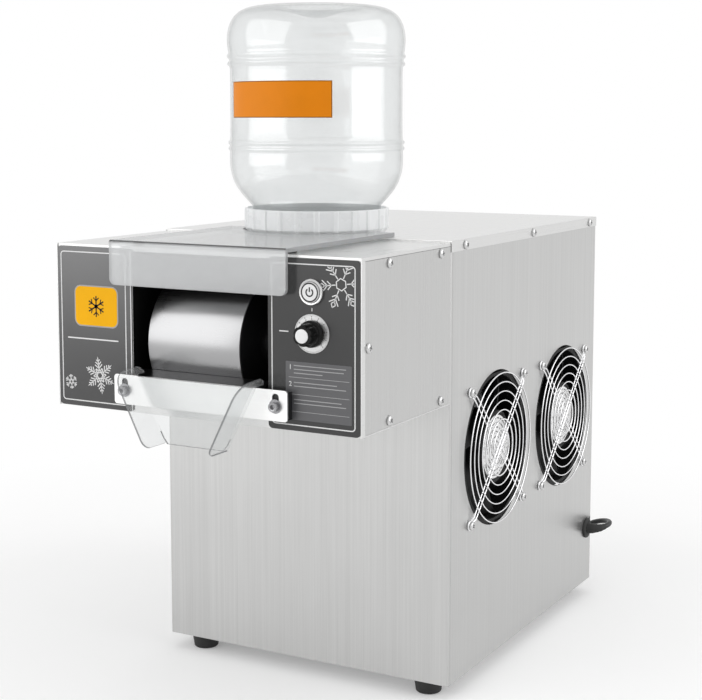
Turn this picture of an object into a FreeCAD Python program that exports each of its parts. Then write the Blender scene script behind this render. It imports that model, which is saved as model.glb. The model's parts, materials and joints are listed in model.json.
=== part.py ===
import FreeCAD, Part
import math
import os
import Sketcher

# Countertop shaved ice machine, millimetres, +Z up, front of the machine towards -Y.
# Datum of the drawing: X = 0 in the middle of the cabinet, Y = 0 on the cabinet's front
# panel, Z = 0 on the worktop. place() moves it to the middle of the footprint.

SIZES = [
    # cabinet
    ("cabinet_width", 320.0, "outside width of the cabinet and head"),
    ("cabinet_depth", 390.0, "front panel to back panel, outside"),
    ("cabinet_height", 424.8, "cabinet underside to the top of the lid"),
    ("sheet_steel", 1.2, "stainless sheet of panels and head"),
    ("lid_steel", 1.0, "sheet of the lid"),
    ("lid_flange", 10.5, "depth of the lid's side flanges"),
    ("front_return", 4.0, "side returns of the front panel"),
    ("fit_gap", 0.2, "assembly gap between fixed sheet parts"),
    ("tray_height", 15.0, "upstand of the base tray"),
    ("foot_height", 15.0, "rubber foot"),
    ("foot_radius", 15.0, "rubber foot at its top"),
    ("foot_tip_radius", 12.5, "rubber foot at the worktop"),
    ("foot_inset_side", 30.0, "foot centre in from the side"),
    ("foot_inset_end", 20.0, "foot centre in from the front and back"),
    # head
    ("head_reach", 172.0, "head overhang in front of the cabinet"),
    ("head_height", 150.4, "height of the head, hung from its top"),
    ("lid_step", 2.0, "lid top above the head's top"),
    ("head_return", 6.3, "front returns of the head shell"),
    ("head_fold", 3.0, "top folds of the head shell"),
    ("fascia_thickness", 1.5, "printed control fascias"),
    ("window_left", 75.0, "window edge left of the middle"),
    ("window_right", 69.0, "window edge right of the middle"),
    ("window_sill", 28.0, "window's lower edge above the head's underside"),
    ("window_lintel", 4.5, "window's upper edge below the head's top"),
    ("chamber_wall", 2.5, "drum chamber wall"),
    ("chamber_depth", 131.0, "drum chamber, front to back"),
    # drum and drive
    ("drum_radius", 59.5, "freezing drum"),
    ("drum_length", 97.4, "freezing drum sleeve"),
    ("drum_skin", 1.5, "sleeve wall"),
    ("drum_behind", 64.0, "drum axis behind the head's front"),
    ("drum_above", 63.5, "drum axis above the head's underside"),
    ("drum_offset", -11.8, "middle of the drum from the middle of the machine"),
    ("shaft_radius", 7.45, "drum shaft"),
    ("bearing_bore", 7.5, "bearing bore radius"),
    ("bearing_outer", 17.5, "bearing outer radius"),
    ("bearing_width", 11.0, "bearing width"),
    ("gear_module", 1.5, "drive gears"),
    ("gear_width", 8.0, "drive gears"),
    ("motor_radius", 29.0, "gear motor"),
    ("motor_length", 50.0, "gear motor"),
    ("coil_tube_radius", 4.0, "evaporator tube in the drum"),
    # scraper and chute
    ("bar_length", 182.0, "scraper bar"),
    ("bar_height", 27.0, "scraper bar"),
    ("bar_above", 9.0, "scraper bar's lower edge above the head's underside"),
    ("bar_offset", 3.0, "middle of the scraper bar from the middle of the machine"),
    ("bar_plate", 2.0, "stainless plate of the scraper bar"),
    ("bar_block", 8.0, "black block behind the plate"),
    ("bar_screw_pitch", 158.5, "between the two scraper screws"),
    ("blade_thickness", 1.5, "scraper blade"),
    ("blade_gap", 0.3, "blade tip to drum"),
    ("chute_sheet", 2.0, "clear plastic of the chute"),
    ("chute_top", 63.0, "chute half width at the scraper bar's top"),
    ("chute_foot", 33.5, "chute half width at its lower end"),
    ("chute_drop", 58.0, "scraper bar's top to the chute's lower end"),
    ("chute_reach", 31.0, "wings in front of the chute's back wall"),
    # splash cover
    ("cover_width", 185.0, "clear splash cover"),
    ("cover_sheet", 4.0, "clear splash cover"),
    ("cover_front", 181.2, "cover's front in front of the cabinet"),
    ("cover_lap", 18.0, "cover on the lid behind the cabinet's front"),
    ("cover_apron", 40.5, "depth of the cover's front apron"),
    ("cover_gap", 0.2, "cover above the lid"),
    # bottle
    ("bottle_radius", 85.0, "barrel of the inverted bottle"),
    ("bottle_height", 195.0, "bottle above its cap"),
    ("bottle_wall", 2.0, "bottle wall"),
    ("bottle_back", 30.0, "bottle axis behind the cabinet's front"),
    ("cap_radius", 71.0, "screw cap"),
    ("cap_height", 25.0, "screw cap"),
    ("cap_wall", 2.5, "screw cap"),
    ("spout_radius", 14.0, "outlet spout under the cap"),
    ("spout_length", 20.0, "outlet spout under the cap"),
    # controls
    ("control_x", 112.6, "button and dial right of the middle"),
    ("button_above", 120.2, "button above the head's underside"),
    ("dial_above", 84.9, "dial above the head's underside"),
    ("bezel_radius", 11.4, "button bezel"),
    ("button_radius", 8.6, "button cap"),
    ("button_travel", 2.0, "button press"),
    ("dial_radius", 16.75, "dial plate"),
    ("knob_radius", 11.5, "speed knob"),
    ("knob_length", 25.0, "speed knob"),
    ("knob_cap_radius", 6.75, "white cap of the knob"),
    # fans
    ("fan_size", 150.0, "square of a fan frame"),
    ("fan_depth", 38.0, "fan frame"),
    ("fan_bore", 72.0, "fan frame bore radius"),
    ("fan_pitch", 130.0, "fan and guard screws"),
    ("fan_first", 110.3, "front fan behind the cabinet's front"),
    ("fan_spacing", 181.2, "between the two fans"),
    ("fan_above", 211.0, "fans above the cabinet's underside"),
    ("fan_cutout", 77.5, "panel cutout radius"),
    ("guard_standoff", 9.0, "guard's outer face in front of the panel"),
    ("guard_wire", 1.3, "guard wire radius"),
    # fasteners and cord
    ("screw_head_radius", 4.5, "pan head screw"),
    ("screw_head_height", 2.4, "pan head screw"),
    ("screw_radius", 2.0, "pan head screw"),
    ("screw_length", 8.0, "pan head screw"),
    ("screw_clearance", 0.2, "screw hole over the screw, radius"),
    ("cord_radius", 3.0, "mains cord"),
    ("gland_inset", 15.0, "cord gland in from the cabinet's back"),
    ("gland_above", 63.5, "cord gland above the cabinet's underside"),
]

doc = FreeCAD.newDocument("shaved_ice_machine")


def make_sheet():
    """Put every driving dimension in a cell with an alias."""
    table = doc.addObject("Spreadsheet::Sheet", "Sizes")
    for row, (alias, value, note) in enumerate(SIZES, start=1):
        table.set("A%d" % row, note)
        table.set("B%d" % row, str(value))
        table.setAlias("B%d" % row, alias)
    doc.recompute()
    return table


sheet = make_sheet()


class Size:
    """A length that knows its expression on the sheet as well as its value."""

    def __init__(self, text, value):
        self.text = text
        self.value = value

    def __float__(self):
        return float(self.value)

    def __add__(self, other):
        other = as_size(other)
        return Size("(%s + %s)" % (self.text, other.text), self.value + other.value)

    def __sub__(self, other):
        other = as_size(other)
        return Size("(%s - %s)" % (self.text, other.text), self.value - other.value)

    def __mul__(self, other):
        other = as_size(other)
        return Size("(%s * %s)" % (self.text, other.text), self.value * other.value)

    def __truediv__(self, other):
        other = as_size(other)
        return Size("(%s / %s)" % (self.text, other.text), self.value / other.value)

    def __radd__(self, other):
        return as_size(other) + self

    def __rsub__(self, other):
        return as_size(other) - self

    def __rmul__(self, other):
        return as_size(other) * self

    def __neg__(self):
        return Size("(-%s)" % self.text, -self.value)


def as_size(value):
    """Turn a plain number into a Size and leave a Size alone."""
    if isinstance(value, Size):
        return value
    return Size("%.6g" % value if value >= 0 else "(%.6g)" % value, float(value))


class Cells:
    """Reads a cell of the sheet by its alias."""

    def __getattr__(self, alias):
        return Size("Sizes." + alias, float(getattr(sheet, alias)))


size = Cells()

# ---------------------------------------------------------------- places
half_width = size.cabinet_width / 2
inner_half = half_width - size.sheet_steel
cabinet_floor = size.foot_height
lid_top = size.foot_height + size.cabinet_height
lid_under = lid_top - size.lid_steel
head_top = lid_top - size.lid_step
head_floor = head_top - size.head_height
head_front = -size.head_reach
shell_front = head_front + size.fascia_thickness
back_inside = size.cabinet_depth - size.sheet_steel
window_low = head_floor + size.window_sill
window_high = head_top - size.window_lintel
drum_y = head_front + size.drum_behind
drum_z = head_floor + size.drum_above
drum_left = size.drum_offset - size.drum_length / 2
bar_low = head_floor + size.bar_above
bar_high = bar_low + size.bar_height
bar_front = head_front - size.bar_plate - size.bar_block
chute_face = bar_front - 0.4
chute_front = chute_face - size.chute_reach
cover_under = lid_top + size.cover_gap
cover_top = cover_under + size.cover_sheet
cap_bottom = lid_top
cap_top = cap_bottom + size.cap_height
button_z = head_floor + size.button_above
dial_z = head_floor + size.dial_above
fan_z = cabinet_floor + size.fan_above
fan_places = [size.fan_first, size.fan_first + size.fan_spacing]
gland_y = size.cabinet_depth - size.gland_inset
gland_z = cabinet_floor + size.gland_above

# how far the machine reaches beyond the cabinet's sides, front and back
reach_right = half_width + size.guard_standoff
reach_left = half_width + size.lid_steel + size.screw_head_height
reach_back = size.cabinet_depth + size.screw_head_height
shift_x = (reach_right - reach_left) / 2
shift_y = (chute_front + reach_back) / 2

nodes = []


# ---------------------------------------------------------------- drawing tools
def bind(item, path, value):
    """Bind one property to its expression on the sheet."""
    item.setExpression(path, as_size(value).text)


def place(item, x=0, y=0, z=0):
    """Put an object's origin at a point of the drawing, moved to the footprint's middle."""
    bind(item, "Placement.Base.x", as_size(x) - shift_x)
    bind(item, "Placement.Base.y", as_size(y) - shift_y)
    bind(item, "Placement.Base.z", as_size(z))


def node(item, name):
    """Name a finished sub-part; the label is the name of its file."""
    item.Label = name
    nodes.append(item)
    return item


def new_body(name):
    """Start a PartDesign body."""
    return doc.addObject("PartDesign::Body", name + "_body")


def origin_plane(body, role):
    """Find one of the body's own origin planes."""
    return [item for item in body.Origin.OriginFeatures if item.Role == role][0]


def new_sketch(body, role, offset=0):
    """Start a sketch on an origin plane, moved along the plane's normal."""
    sketch = body.newObject("Sketcher::SketchObject", body.Name + "_sketch")
    sketch.AttachmentSupport = [(origin_plane(body, role), "")]
    sketch.MapMode = "FlatFace"
    bind(sketch, "AttachmentOffset.Base.z", offset)
    return sketch


def fix_point(sketch, curve, end, u, v):
    """Tie a point of the sketch to its two coordinates."""
    for kind, value in (("DistanceX", u), ("DistanceY", v)):
        value = as_size(value)
        if abs(value.value) < 1e-9:
            axis = -2 if kind == "DistanceX" else -1
            sketch.addConstraint(Sketcher.Constraint("PointOnObject", curve, end, axis))
            continue
        index = sketch.addConstraint(Sketcher.Constraint(kind, -1, 1, curve, end, value.value))
        if "Sizes" in value.text:
            sketch.setExpression("Constraints[%d]" % index, value.text)


def draw_outline(sketch, points):
    """Draw a closed outline of straight lines through the points."""
    places = [FreeCAD.Vector(float(as_size(u)), float(as_size(v)), 0) for u, v in points]
    first = sketch.GeometryCount
    for index, start in enumerate(places):
        end = places[(index + 1) % len(places)]
        sketch.addGeometry(Part.LineSegment(start, end), False)
    for index in range(len(places)):
        following = first + (index + 1) % len(places)
        sketch.addConstraint(Sketcher.Constraint("Coincident", first + index, 2, following, 1))
    for index, (u, v) in enumerate(points):
        fix_point(sketch, first + index, 1, u, v)
    return sketch


def draw_box(sketch, left, low, right, high):
    """Draw a rectangle from its edges."""
    return draw_outline(sketch, [(left, low), (right, low), (right, high), (left, high)])


def draw_circle(sketch, u, v, radius):
    """Draw a circle from its centre and radius."""
    radius = as_size(radius)
    centre = FreeCAD.Vector(float(as_size(u)), float(as_size(v)), 0)
    index = sketch.addGeometry(Part.Circle(centre, FreeCAD.Vector(0, 0, 1), float(radius)), False)
    fix_point(sketch, index, 3, u, v)
    constraint = sketch.addConstraint(Sketcher.Constraint("Radius", index, radius.value))
    if "Sizes" in radius.text:
        sketch.setExpression("Constraints[%d]" % constraint, radius.text)
    return sketch


def pad(body, sketch, length, backwards=False):
    """Pad a sketch along its normal, or against it."""
    feature = body.newObject("PartDesign::Pad", body.Name + "_pad")
    feature.Profile = sketch
    feature.Reversed = backwards
    bind(feature, "Length", length)
    return feature


def pocket(body, sketch, length, backwards=False):
    """Cut a sketch into the body, against its normal, or along it when backwards."""
    feature = body.newObject("PartDesign::Pocket", body.Name + "_pocket")
    feature.Profile = sketch
    feature.Reversed = backwards
    bind(feature, "Length", length)
    return feature


def repeat_up(body, feature, sketch, count, pitch):
    """Repeat a feature upwards along its sketch's own vertical axis."""
    pattern = body.newObject("PartDesign::LinearPattern", body.Name + "_pattern")
    pattern.Originals = [feature]
    pattern.Direction = (sketch, ["V_Axis"])
    pattern.Length = (count - 1) * pitch
    pattern.Occurrences = count
    body.Tip = pattern
    return pattern


def revolve(body, sketch, axis):
    """Turn a sketch once round one of its own axes."""
    feature = body.newObject("PartDesign::Revolution", body.Name + "_revolution")
    feature.Profile = sketch
    feature.ReferenceAxis = (sketch, [axis])
    feature.Angle = 360.0
    return feature


def round_edges(body, radius, chosen):
    """Fillet the body's edges that the chosen() test picks from its tip."""
    doc.recompute()
    base = body.Tip
    names = ["Edge%d" % (index + 1) for index, edge in enumerate(base.Shape.Edges) if chosen(edge)]
    feature = body.newObject("PartDesign::Fillet", body.Name + "_fillet")
    feature.Base = (base, names)
    bind(feature, "Radius", radius)
    return feature


def runs_along(edge, axis):
    """Say whether an edge is straight and runs along the axis."""
    if not isinstance(edge.Curve, Part.Line):
        return False
    return abs(abs(edge.Curve.Direction.dot(axis)) - 1) < 1e-6


AXIS_X = FreeCAD.Vector(1, 0, 0)
AXIS_Y = FreeCAD.Vector(0, 1, 0)
AXIS_Z = FreeCAD.Vector(0, 0, 1)


def box(name, length, width, height, x, y, z):
    """A Part box from its sizes and its lowest corner."""
    item = doc.addObject("Part::Box", name)
    bind(item, "Length", length)
    bind(item, "Width", width)
    bind(item, "Height", height)
    place(item, x, y, z)
    return item


def cylinder(name, radius, height, x, y, z, axis=AXIS_Z):
    """A Part cylinder from its foot, along an axis."""
    item = doc.addObject("Part::Cylinder", name)
    bind(item, "Radius", radius)
    bind(item, "Height", height)
    item.Placement = FreeCAD.Placement(FreeCAD.Vector(), FreeCAD.Rotation(AXIS_Z, axis))
    place(item, x, y, z)
    return item


def cut(name, base, tools):
    """Cut several tools out of a base."""
    tool = tools[0]
    if len(tools) > 1:
        tool = doc.addObject("Part::MultiFuse", name + "_tools")
        tool.Shapes = tools
    item = doc.addObject("Part::Cut", name + "_cut")
    item.Base = base
    item.Tool = tool
    return item


def fuse(name, pieces):
    """Join pieces that are one solid on the bench."""
    item = doc.addObject("Part::MultiFuse", name + "_fuse")
    item.Shapes = pieces
    return item


def group(name, pieces):
    """Keep separate pieces together in one sub-part."""
    item = doc.addObject("Part::Compound", name + "_group")
    item.Links = pieces
    return item


def at(x, y, z):
    """A point of the drawing as a vector, moved to the footprint's middle."""
    return FreeCAD.Vector(float(as_size(x) - shift_x), float(as_size(y) - shift_y), float(as_size(z)))


def feature_of(name, shape, x=shift_x, y=shift_y, z=0, turn=None):
    """A Part feature whose shape is made with Part's own functions, placed at a point."""
    item = doc.addObject("Part::Feature", name + "_shape")
    item.Shape = shape
    item.Placement = FreeCAD.Placement(at(x, y, z), turn or FreeCAD.Rotation())
    return item


def rounded_path(points, radii=None):
    """Straight runs joined by tangent arcs, each as large as its two runs allow."""
    edges = []
    start = points[0]
    for index in range(1, len(points) - 1):
        before = points[index] - points[index - 1]
        after = points[index + 1] - points[index]
        half_turn = before.getAngle(after) / 2
        reach = 0.45 * min(before.Length, after.Length)
        if radii is not None:
            radii.append(reach / math.tan(half_turn))
        entry = points[index] - before.normalize() * reach
        leave = points[index] + after.normalize() * reach
        bisector = (entry + leave) * 0.5 - points[index]
        bisector.normalize()
        radius = reach / math.tan(half_turn)
        middle = points[index] + bisector * (radius / math.cos(half_turn) - radius)
        edges.append(Part.LineSegment(start, entry).toShape())
        edges.append(Part.Arc(entry, middle, leave).toShape())
        start = leave
    edges.append(Part.LineSegment(start, points[-1]).toShape())
    return Part.Wire(edges)


def tube_along(path, radius):
    """Sweep a round section along a path and compare its volume with section by length."""
    first = path.Edges[0]
    tangent = first.tangentAt(first.FirstParameter)
    ring = Part.Wire(Part.Circle(first.valueAt(first.FirstParameter), tangent, radius).toShape())
    tube = path.makePipeShell([ring], True, False)
    expected = math.pi * radius ** 2 * path.Length
    if abs(tube.Volume / expected - 1) > 0.01:
        raise ValueError("tube volume %.1f, expected %.1f" % (tube.Volume, expected))
    return tube


# ---------------------------------------------------------------- fasteners
def pan_head_solid():
    """One pan head screw with a cross recess, its head on +Z."""
    radius = float(size.screw_head_radius)
    height = float(size.screw_head_height)
    shank = float(size.screw_radius)
    depth = float(size.screw_length)
    rim = FreeCAD.Vector(radius, 0, height * 0.35)
    dome = Part.Arc(rim, FreeCAD.Vector(radius * 0.75, 0, height * 0.82), FreeCAD.Vector(0, 0, height))
    corners = [FreeCAD.Vector(0, 0, -depth), FreeCAD.Vector(shank, 0, -depth),
               FreeCAD.Vector(shank, 0, 0), FreeCAD.Vector(radius, 0, 0), rim]
    edges = [Part.LineSegment(one, two).toShape() for one, two in zip(corners, corners[1:])]
    edges.append(dome.toShape())
    edges.append(Part.LineSegment(FreeCAD.Vector(0, 0, height), corners[0]).toShape())
    head = Part.Face(Part.Wire(edges)).revolve(FreeCAD.Vector(), AXIS_Z, 360)
    slot_long = radius * 1.2
    for across in (0, 90):
        slot = Part.makeBox(slot_long, 1.0, height, FreeCAD.Vector(-slot_long / 2, -0.5, height * 0.45))
        slot.rotate(FreeCAD.Vector(), AXIS_Z, across)
        head = head.cut(slot)
    return head


def fan_screw_places():
    """The four guard screws of each fan, as (y, z)."""
    half = size.fan_pitch / 2
    corners = [(-half, -half), (half, -half), (-half, half), (half, half)]
    return [(y + dy, fan_z + dz) for y in fan_places for dy, dz in corners]


def lid_screw_places():
    """The three screws on each side of the lid, along Y."""
    return [size.foot_inset_side, size.cabinet_depth / 2 + 3.6, size.cabinet_depth - 23]


lid_screw_z = lid_top - 5.5


def head_screw_places():
    """The five screws of each head side plate, as (y, z)."""
    first = head_front + head_screw_inset
    second = head_front + head_screw_second
    high = head_top - head_screw_drop
    low = head_floor + head_screw_rise
    return [(second, high), (-head_screw_end, high), (first, (high + low) / 2), (second, low), (-head_screw_end, low)]


head_screw_inset = as_size(11.3)
head_screw_second = as_size(49.2)
head_screw_end = as_size(21)
head_screw_drop = as_size(7.9)
head_screw_rise = as_size(7)


def back_screw_places():
    """The eight screws of the back panel, as (x, z)."""
    side = half_width - 12
    rows = [cabinet_floor + 8, cabinet_floor + 140, cabinet_floor + 275, lid_top - 22]
    return [(x, z) for z in rows for x in (-side, side)]


def make_screws():
    """All the pan head screws of the panels, head plates, lid and fan guards."""
    screw = pan_head_solid()
    pieces = []

    def add(facing, x, y, z):
        solid = screw.copy()
        solid.Placement = FreeCAD.Placement(at(x, y, z), FreeCAD.Rotation(AXIS_Z, facing))
        pieces.append(solid)

    lid_side = half_width + size.lid_steel
    for y in lid_screw_places():
        add(AXIS_X, lid_side, y, lid_screw_z)
        add(-AXIS_X, -lid_side, y, lid_screw_z)
    for y, z in head_screw_places():
        add(AXIS_X, half_width, y, z)
        add(-AXIS_X, -half_width, y, z)
    for x, z in back_screw_places():
        add(AXIS_Y, x, size.cabinet_depth, z)
    for y, z in fan_screw_places():
        add(AXIS_X, half_width + 2 * size.guard_wire, y, z)
    node(feature_of("pan_head_screws", Part.makeCompound(pieces)), "pan_head_screws")


screw_hole = size.screw_radius + size.screw_clearance


# ---------------------------------------------------------------- cabinet
def foot_places():
    """The four feet, as (x, y)."""
    side = half_width - size.foot_inset_side
    back = size.cabinet_depth - size.foot_inset_end
    return [(x, y) for y in (size.foot_inset_end, back) for x in (-side, side)]


def make_base_tray():
    """The folded tray that carries the compressor, fans and feet."""
    body = new_body("base_tray")
    wall = size.sheet_steel
    side = inner_half - size.fit_gap
    near = wall + size.fit_gap
    far = back_inside - size.fit_gap
    pad(body, draw_box(new_sketch(body, "XY_Plane"), -side, near, side, far), size.tray_height)
    inside = draw_box(new_sketch(body, "XY_Plane", wall), wall - side, near + wall, side - wall, far - wall)
    pocket(body, inside, size.tray_height, True)
    holes = new_sketch(body, "XY_Plane")
    for x, y in foot_places():
        draw_circle(holes, x, y, foot_screw_radius + size.screw_clearance)
    pocket(body, holes, wall, True)
    screws = new_sketch(body, "XZ_Plane", -far)
    for x, z in back_screw_places()[:2]:
        draw_circle(screws, x, z - cabinet_floor, screw_hole)
    pocket(body, screws, wall, True)
    place(body, 0, 0, cabinet_floor)
    node(body, "base_tray")


foot_screw_radius = as_size(3)
foot_screw_head = as_size(5.5)
foot_recess = as_size(9)


def make_feet():
    """Tapered rubber feet with a screw recess from below, and their screws."""
    feet = []
    screws = []
    for index, (x, y) in enumerate(foot_places()):
        cone = doc.addObject("Part::Cone", "foot_%d" % index)
        bind(cone, "Radius1", size.foot_tip_radius)
        bind(cone, "Radius2", size.foot_radius)
        bind(cone, "Height", size.foot_height)
        place(cone, x, y, 0)
        recess = cylinder("recess", foot_screw_head + 0.5, foot_recess, x, y, 0)
        bore = cylinder("bore", foot_screw_radius + 0.1, size.foot_height, x, y, 0)
        feet.append(cut("foot", cone, [recess, bore]))
        head = cylinder("foot_screw_head", foot_screw_head, 3, x, y, foot_recess - 3)
        shank = cylinder("foot_screw_shank", foot_screw_radius, size.foot_height, x, y, foot_recess - 1)
        screws.append(fuse("foot_screw", [head, shank]))
    node(group("rubber_feet", feet), "rubber_feet")
    node(group("foot_screws", screws), "foot_screws")


def make_front_panel():
    """Front sheet with short side returns and the opening into the head."""
    body = new_body("front_panel")
    wall = size.sheet_steel
    pad(body, draw_box(new_sketch(body, "XZ_Plane"), -half_width, cabinet_floor, half_width, lid_under),
        wall, True)
    for inner, outer in ((-half_width, -inner_half), (inner_half, half_width)):
        pad(body, draw_box(new_sketch(body, "XZ_Plane"), inner, cabinet_floor, outer, lid_under),
            size.front_return, True)
    opening = draw_box(new_sketch(body, "XZ_Plane"), 20 - half_width, head_floor + 18,
                       half_width - 20, head_top - 15)
    pocket(body, opening, wall)
    round_edges(body, 1.0, lambda edge: runs_along(edge, AXIS_Z) and edge.BoundBox.YMax < 1e-6
                and abs(edge.BoundBox.XMin) > float(half_width) - 1e-3)
    place(body)
    node(body, "front_panel")


def side_panel(name, sign):
    """One side sheet of the cabinet; sign -1 is the left one."""
    body = new_body(name)
    low = cabinet_floor
    outline = draw_box(new_sketch(body, "YZ_Plane"), size.front_return + size.fit_gap, low, back_inside, lid_under)
    pad(body, outline, size.sheet_steel)
    holes = new_sketch(body, "YZ_Plane")
    for y in lid_screw_places():
        draw_circle(holes, y, lid_screw_z, screw_hole)
    pocket(body, holes, size.sheet_steel, True)
    place(body, inner_half if sign > 0 else -half_width)
    return body


def make_side_panels():
    """Left panel with air slots, right panel with the fan cutouts and the cord hole."""
    left = side_panel("left_side_panel", -1)
    slots = new_sketch(left, "YZ_Plane")
    low = cabinet_floor + 60
    for near in (60, 210):
        draw_box(slots, near, low, near + 120, low + 5)
    repeat_up(left, pocket(left, slots, size.sheet_steel, True), slots, 9, 14)
    node(left, "left_side_panel")

    right = side_panel("right_side_panel", 1)
    cutouts = new_sketch(right, "YZ_Plane")
    for y in fan_places:
        draw_circle(cutouts, y, fan_z, size.fan_cutout)
    for y, z in fan_screw_places():
        draw_circle(cutouts, y, z, screw_hole)
    draw_circle(cutouts, gland_y, gland_z, gland_neck + size.screw_clearance)
    pocket(right, cutouts, size.sheet_steel, True)
    node(right, "right_side_panel")


def make_back_panel():
    """Back sheet with two columns of air slots."""
    body = new_body("back_panel")
    pad(body, draw_box(new_sketch(body, "XZ_Plane"), -half_width, cabinet_floor, half_width, lid_under),
        size.sheet_steel, True)
    holes = new_sketch(body, "XZ_Plane")
    for x, z in back_screw_places():
        draw_circle(holes, x, z, screw_hole)
    pocket(body, holes, size.sheet_steel)
    slots = new_sketch(body, "XZ_Plane")
    low = cabinet_floor + 90
    for left in (-120, 16):
        draw_box(slots, left, low, left + 104, low + 6)
    repeat_up(body, pocket(body, slots, size.sheet_steel), slots, 12, 16)
    place(body, 0, back_inside)
    node(body, "back_panel")


def make_lid():
    """Flat lid with flanges down both sides and the back, and the bottle's spout hole."""
    body = new_body("top_lid")
    outer = half_width + size.lid_steel
    far = size.cabinet_depth
    flange = size.lid_flange - size.lid_steel
    pad(body, draw_box(new_sketch(body, "XY_Plane"), -outer, 0, outer, far), size.lid_steel)
    for left, right in ((-outer, -half_width), (half_width, outer)):
        pad(body, draw_box(new_sketch(body, "XY_Plane"), left, 0, right, far), flange, True)
    holes = new_sketch(body, "YZ_Plane", -outer)
    for y in lid_screw_places():
        draw_circle(holes, y, lid_screw_z - lid_under, screw_hole)
    pocket(body, holes, 2 * outer, True)
    spout = draw_circle(new_sketch(body, "XY_Plane"), 0, size.bottle_back, spout_hole)
    pocket(body, spout, size.lid_steel, True)
    round_edges(body, 0.8, lambda edge: runs_along(edge, AXIS_Y)
                and edge.BoundBox.ZMin > float(size.lid_steel) - 1e-3
                and abs(edge.BoundBox.XMin) > float(half_width))
    place(body, 0, 0, lid_under)
    node(body, "top_lid")


spout_hole = size.spout_radius + 0.6


# ---------------------------------------------------------------- head
def make_head_shell():
    """Top, front and bottom of the head in one folded sheet, with the drum window."""
    body = new_body("head_shell")
    wall = size.sheet_steel
    outer = draw_outline(new_sketch(body, "YZ_Plane", -half_width), [
        (shell_front, head_floor), (0, head_floor), (0, head_floor + wall),
        (shell_front + wall, head_floor + wall), (shell_front + wall, head_top - wall),
        (0, head_top - wall), (0, head_top), (shell_front, head_top)])
    pad(body, outer, size.cabinet_width)
    edge_front = head_front + size.head_return
    for left, right in ((-half_width, -inner_half), (inner_half, half_width)):
        returns = draw_box(new_sketch(body, "XY_Plane", head_floor), left, head_front, right, edge_front)
        pad(body, returns, head_top - head_floor)
        fold = draw_box(new_sketch(body, "XY_Plane", head_top), left, head_front, right, 0)
        pad(body, fold, size.head_fold, True)
    window = draw_box(new_sketch(body, "XZ_Plane", -shell_front), -size.window_left, window_low,
                      size.window_right, window_high)
    pocket(body, window, wall)
    holes = new_sketch(body, "XZ_Plane", -shell_front)
    draw_circle(holes, size.control_x, button_z, button_barrel + 0.2)
    draw_circle(holes, size.control_x, dial_z, dial_bush + 0.2)
    for x in bar_screw_places():
        draw_circle(holes, x, bar_screw_z, bar_screw_radius + 0.2)
    pocket(body, holes, wall)
    place(body)
    node(body, "head_shell")


button_barrel = as_size(8.9)
dial_bush = as_size(4.5)


def make_head_plates():
    """The two screwed side plates of the head."""
    for name, left in (("head_left_plate", -half_width), ("head_right_plate", inner_half)):
        body = new_body(name)
        outline = draw_box(new_sketch(body, "YZ_Plane"), head_front + size.head_return + size.fit_gap,
                           head_floor + size.sheet_steel, -size.fit_gap,
                           head_top - size.head_fold - size.fit_gap)
        pad(body, outline, size.sheet_steel)
        holes = new_sketch(body, "YZ_Plane")
        for y, z in head_screw_places():
            draw_circle(holes, y, z, screw_hole)
        pocket(body, holes, size.sheet_steel, True)
        place(body, left)
        node(body, name)


def make_fascias():
    """The two printed panels beside the window."""
    edge = inner_half - size.fit_gap
    sides = {"left_fascia": (-edge, -size.window_left), "right_fascia": (size.window_right, edge)}
    for name, (left, right) in sides.items():
        body = new_body(name)
        outline = draw_box(new_sketch(body, "XZ_Plane", -head_front), left, head_floor + 0.5,
                           right, head_top - 2.1)
        pad(body, outline, size.fascia_thickness, True)
        slot = new_sketch(body, "XZ_Plane", -head_front)
        room = bar_screw_radius + 0.2
        if name == "right_fascia":
            draw_circle(slot, size.control_x, button_z, button_barrel + 0.2)
            draw_circle(slot, size.control_x, dial_z, dial_bush + 0.2)
            draw_box(slot, left - 1, bar_screw_z - room, bar_screw_places()[1] + room, bar_screw_z + room)
        else:
            draw_box(slot, bar_screw_places()[0] - room, bar_screw_z - room, right + 1, bar_screw_z + room)
        pocket(body, slot, size.fascia_thickness)
        round_edges(body, 4.0, lambda edge: runs_along(edge, AXIS_Y)
                    and not float(bar_low) < edge.BoundBox.ZMin < float(bar_high))
        place(body)
        node(body, name)


chamber_back = shell_front + size.sheet_steel + size.chamber_depth


def make_drum_chamber():
    """Black moulded housing round the drum, open to the front and resting on the shell."""
    body = new_body("drum_chamber")
    wall = size.chamber_wall
    near = shell_front + size.sheet_steel
    low = head_floor + size.sheet_steel
    high = head_top - size.sheet_steel
    left = -size.window_left - wall
    right = size.window_right + wall
    pad(body, draw_box(new_sketch(body, "XY_Plane", low), left, near, right, chamber_back), high - low)
    hollow = draw_box(new_sketch(body, "XZ_Plane", -near), left + wall, low, right - wall, high - wall)
    pocket(body, hollow, size.chamber_depth - wall)
    bore = draw_circle(new_sketch(body, "YZ_Plane", left), drum_y, drum_z, size.bearing_outer + 0.05)
    pocket(body, bore, right - left, True)
    feed = draw_circle(new_sketch(body, "XZ_Plane", -chamber_back), 0, feed_end_z, feed_radius + 0.3)
    pocket(body, feed, wall, True)
    place(body)
    node(body, "drum_chamber")


feed_radius = as_size(4)
feed_end_z = drum_z + 22
coil_turns = 6
bearing_centres = [-size.window_left - size.chamber_wall / 2, size.window_right + size.chamber_wall / 2]


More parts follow.
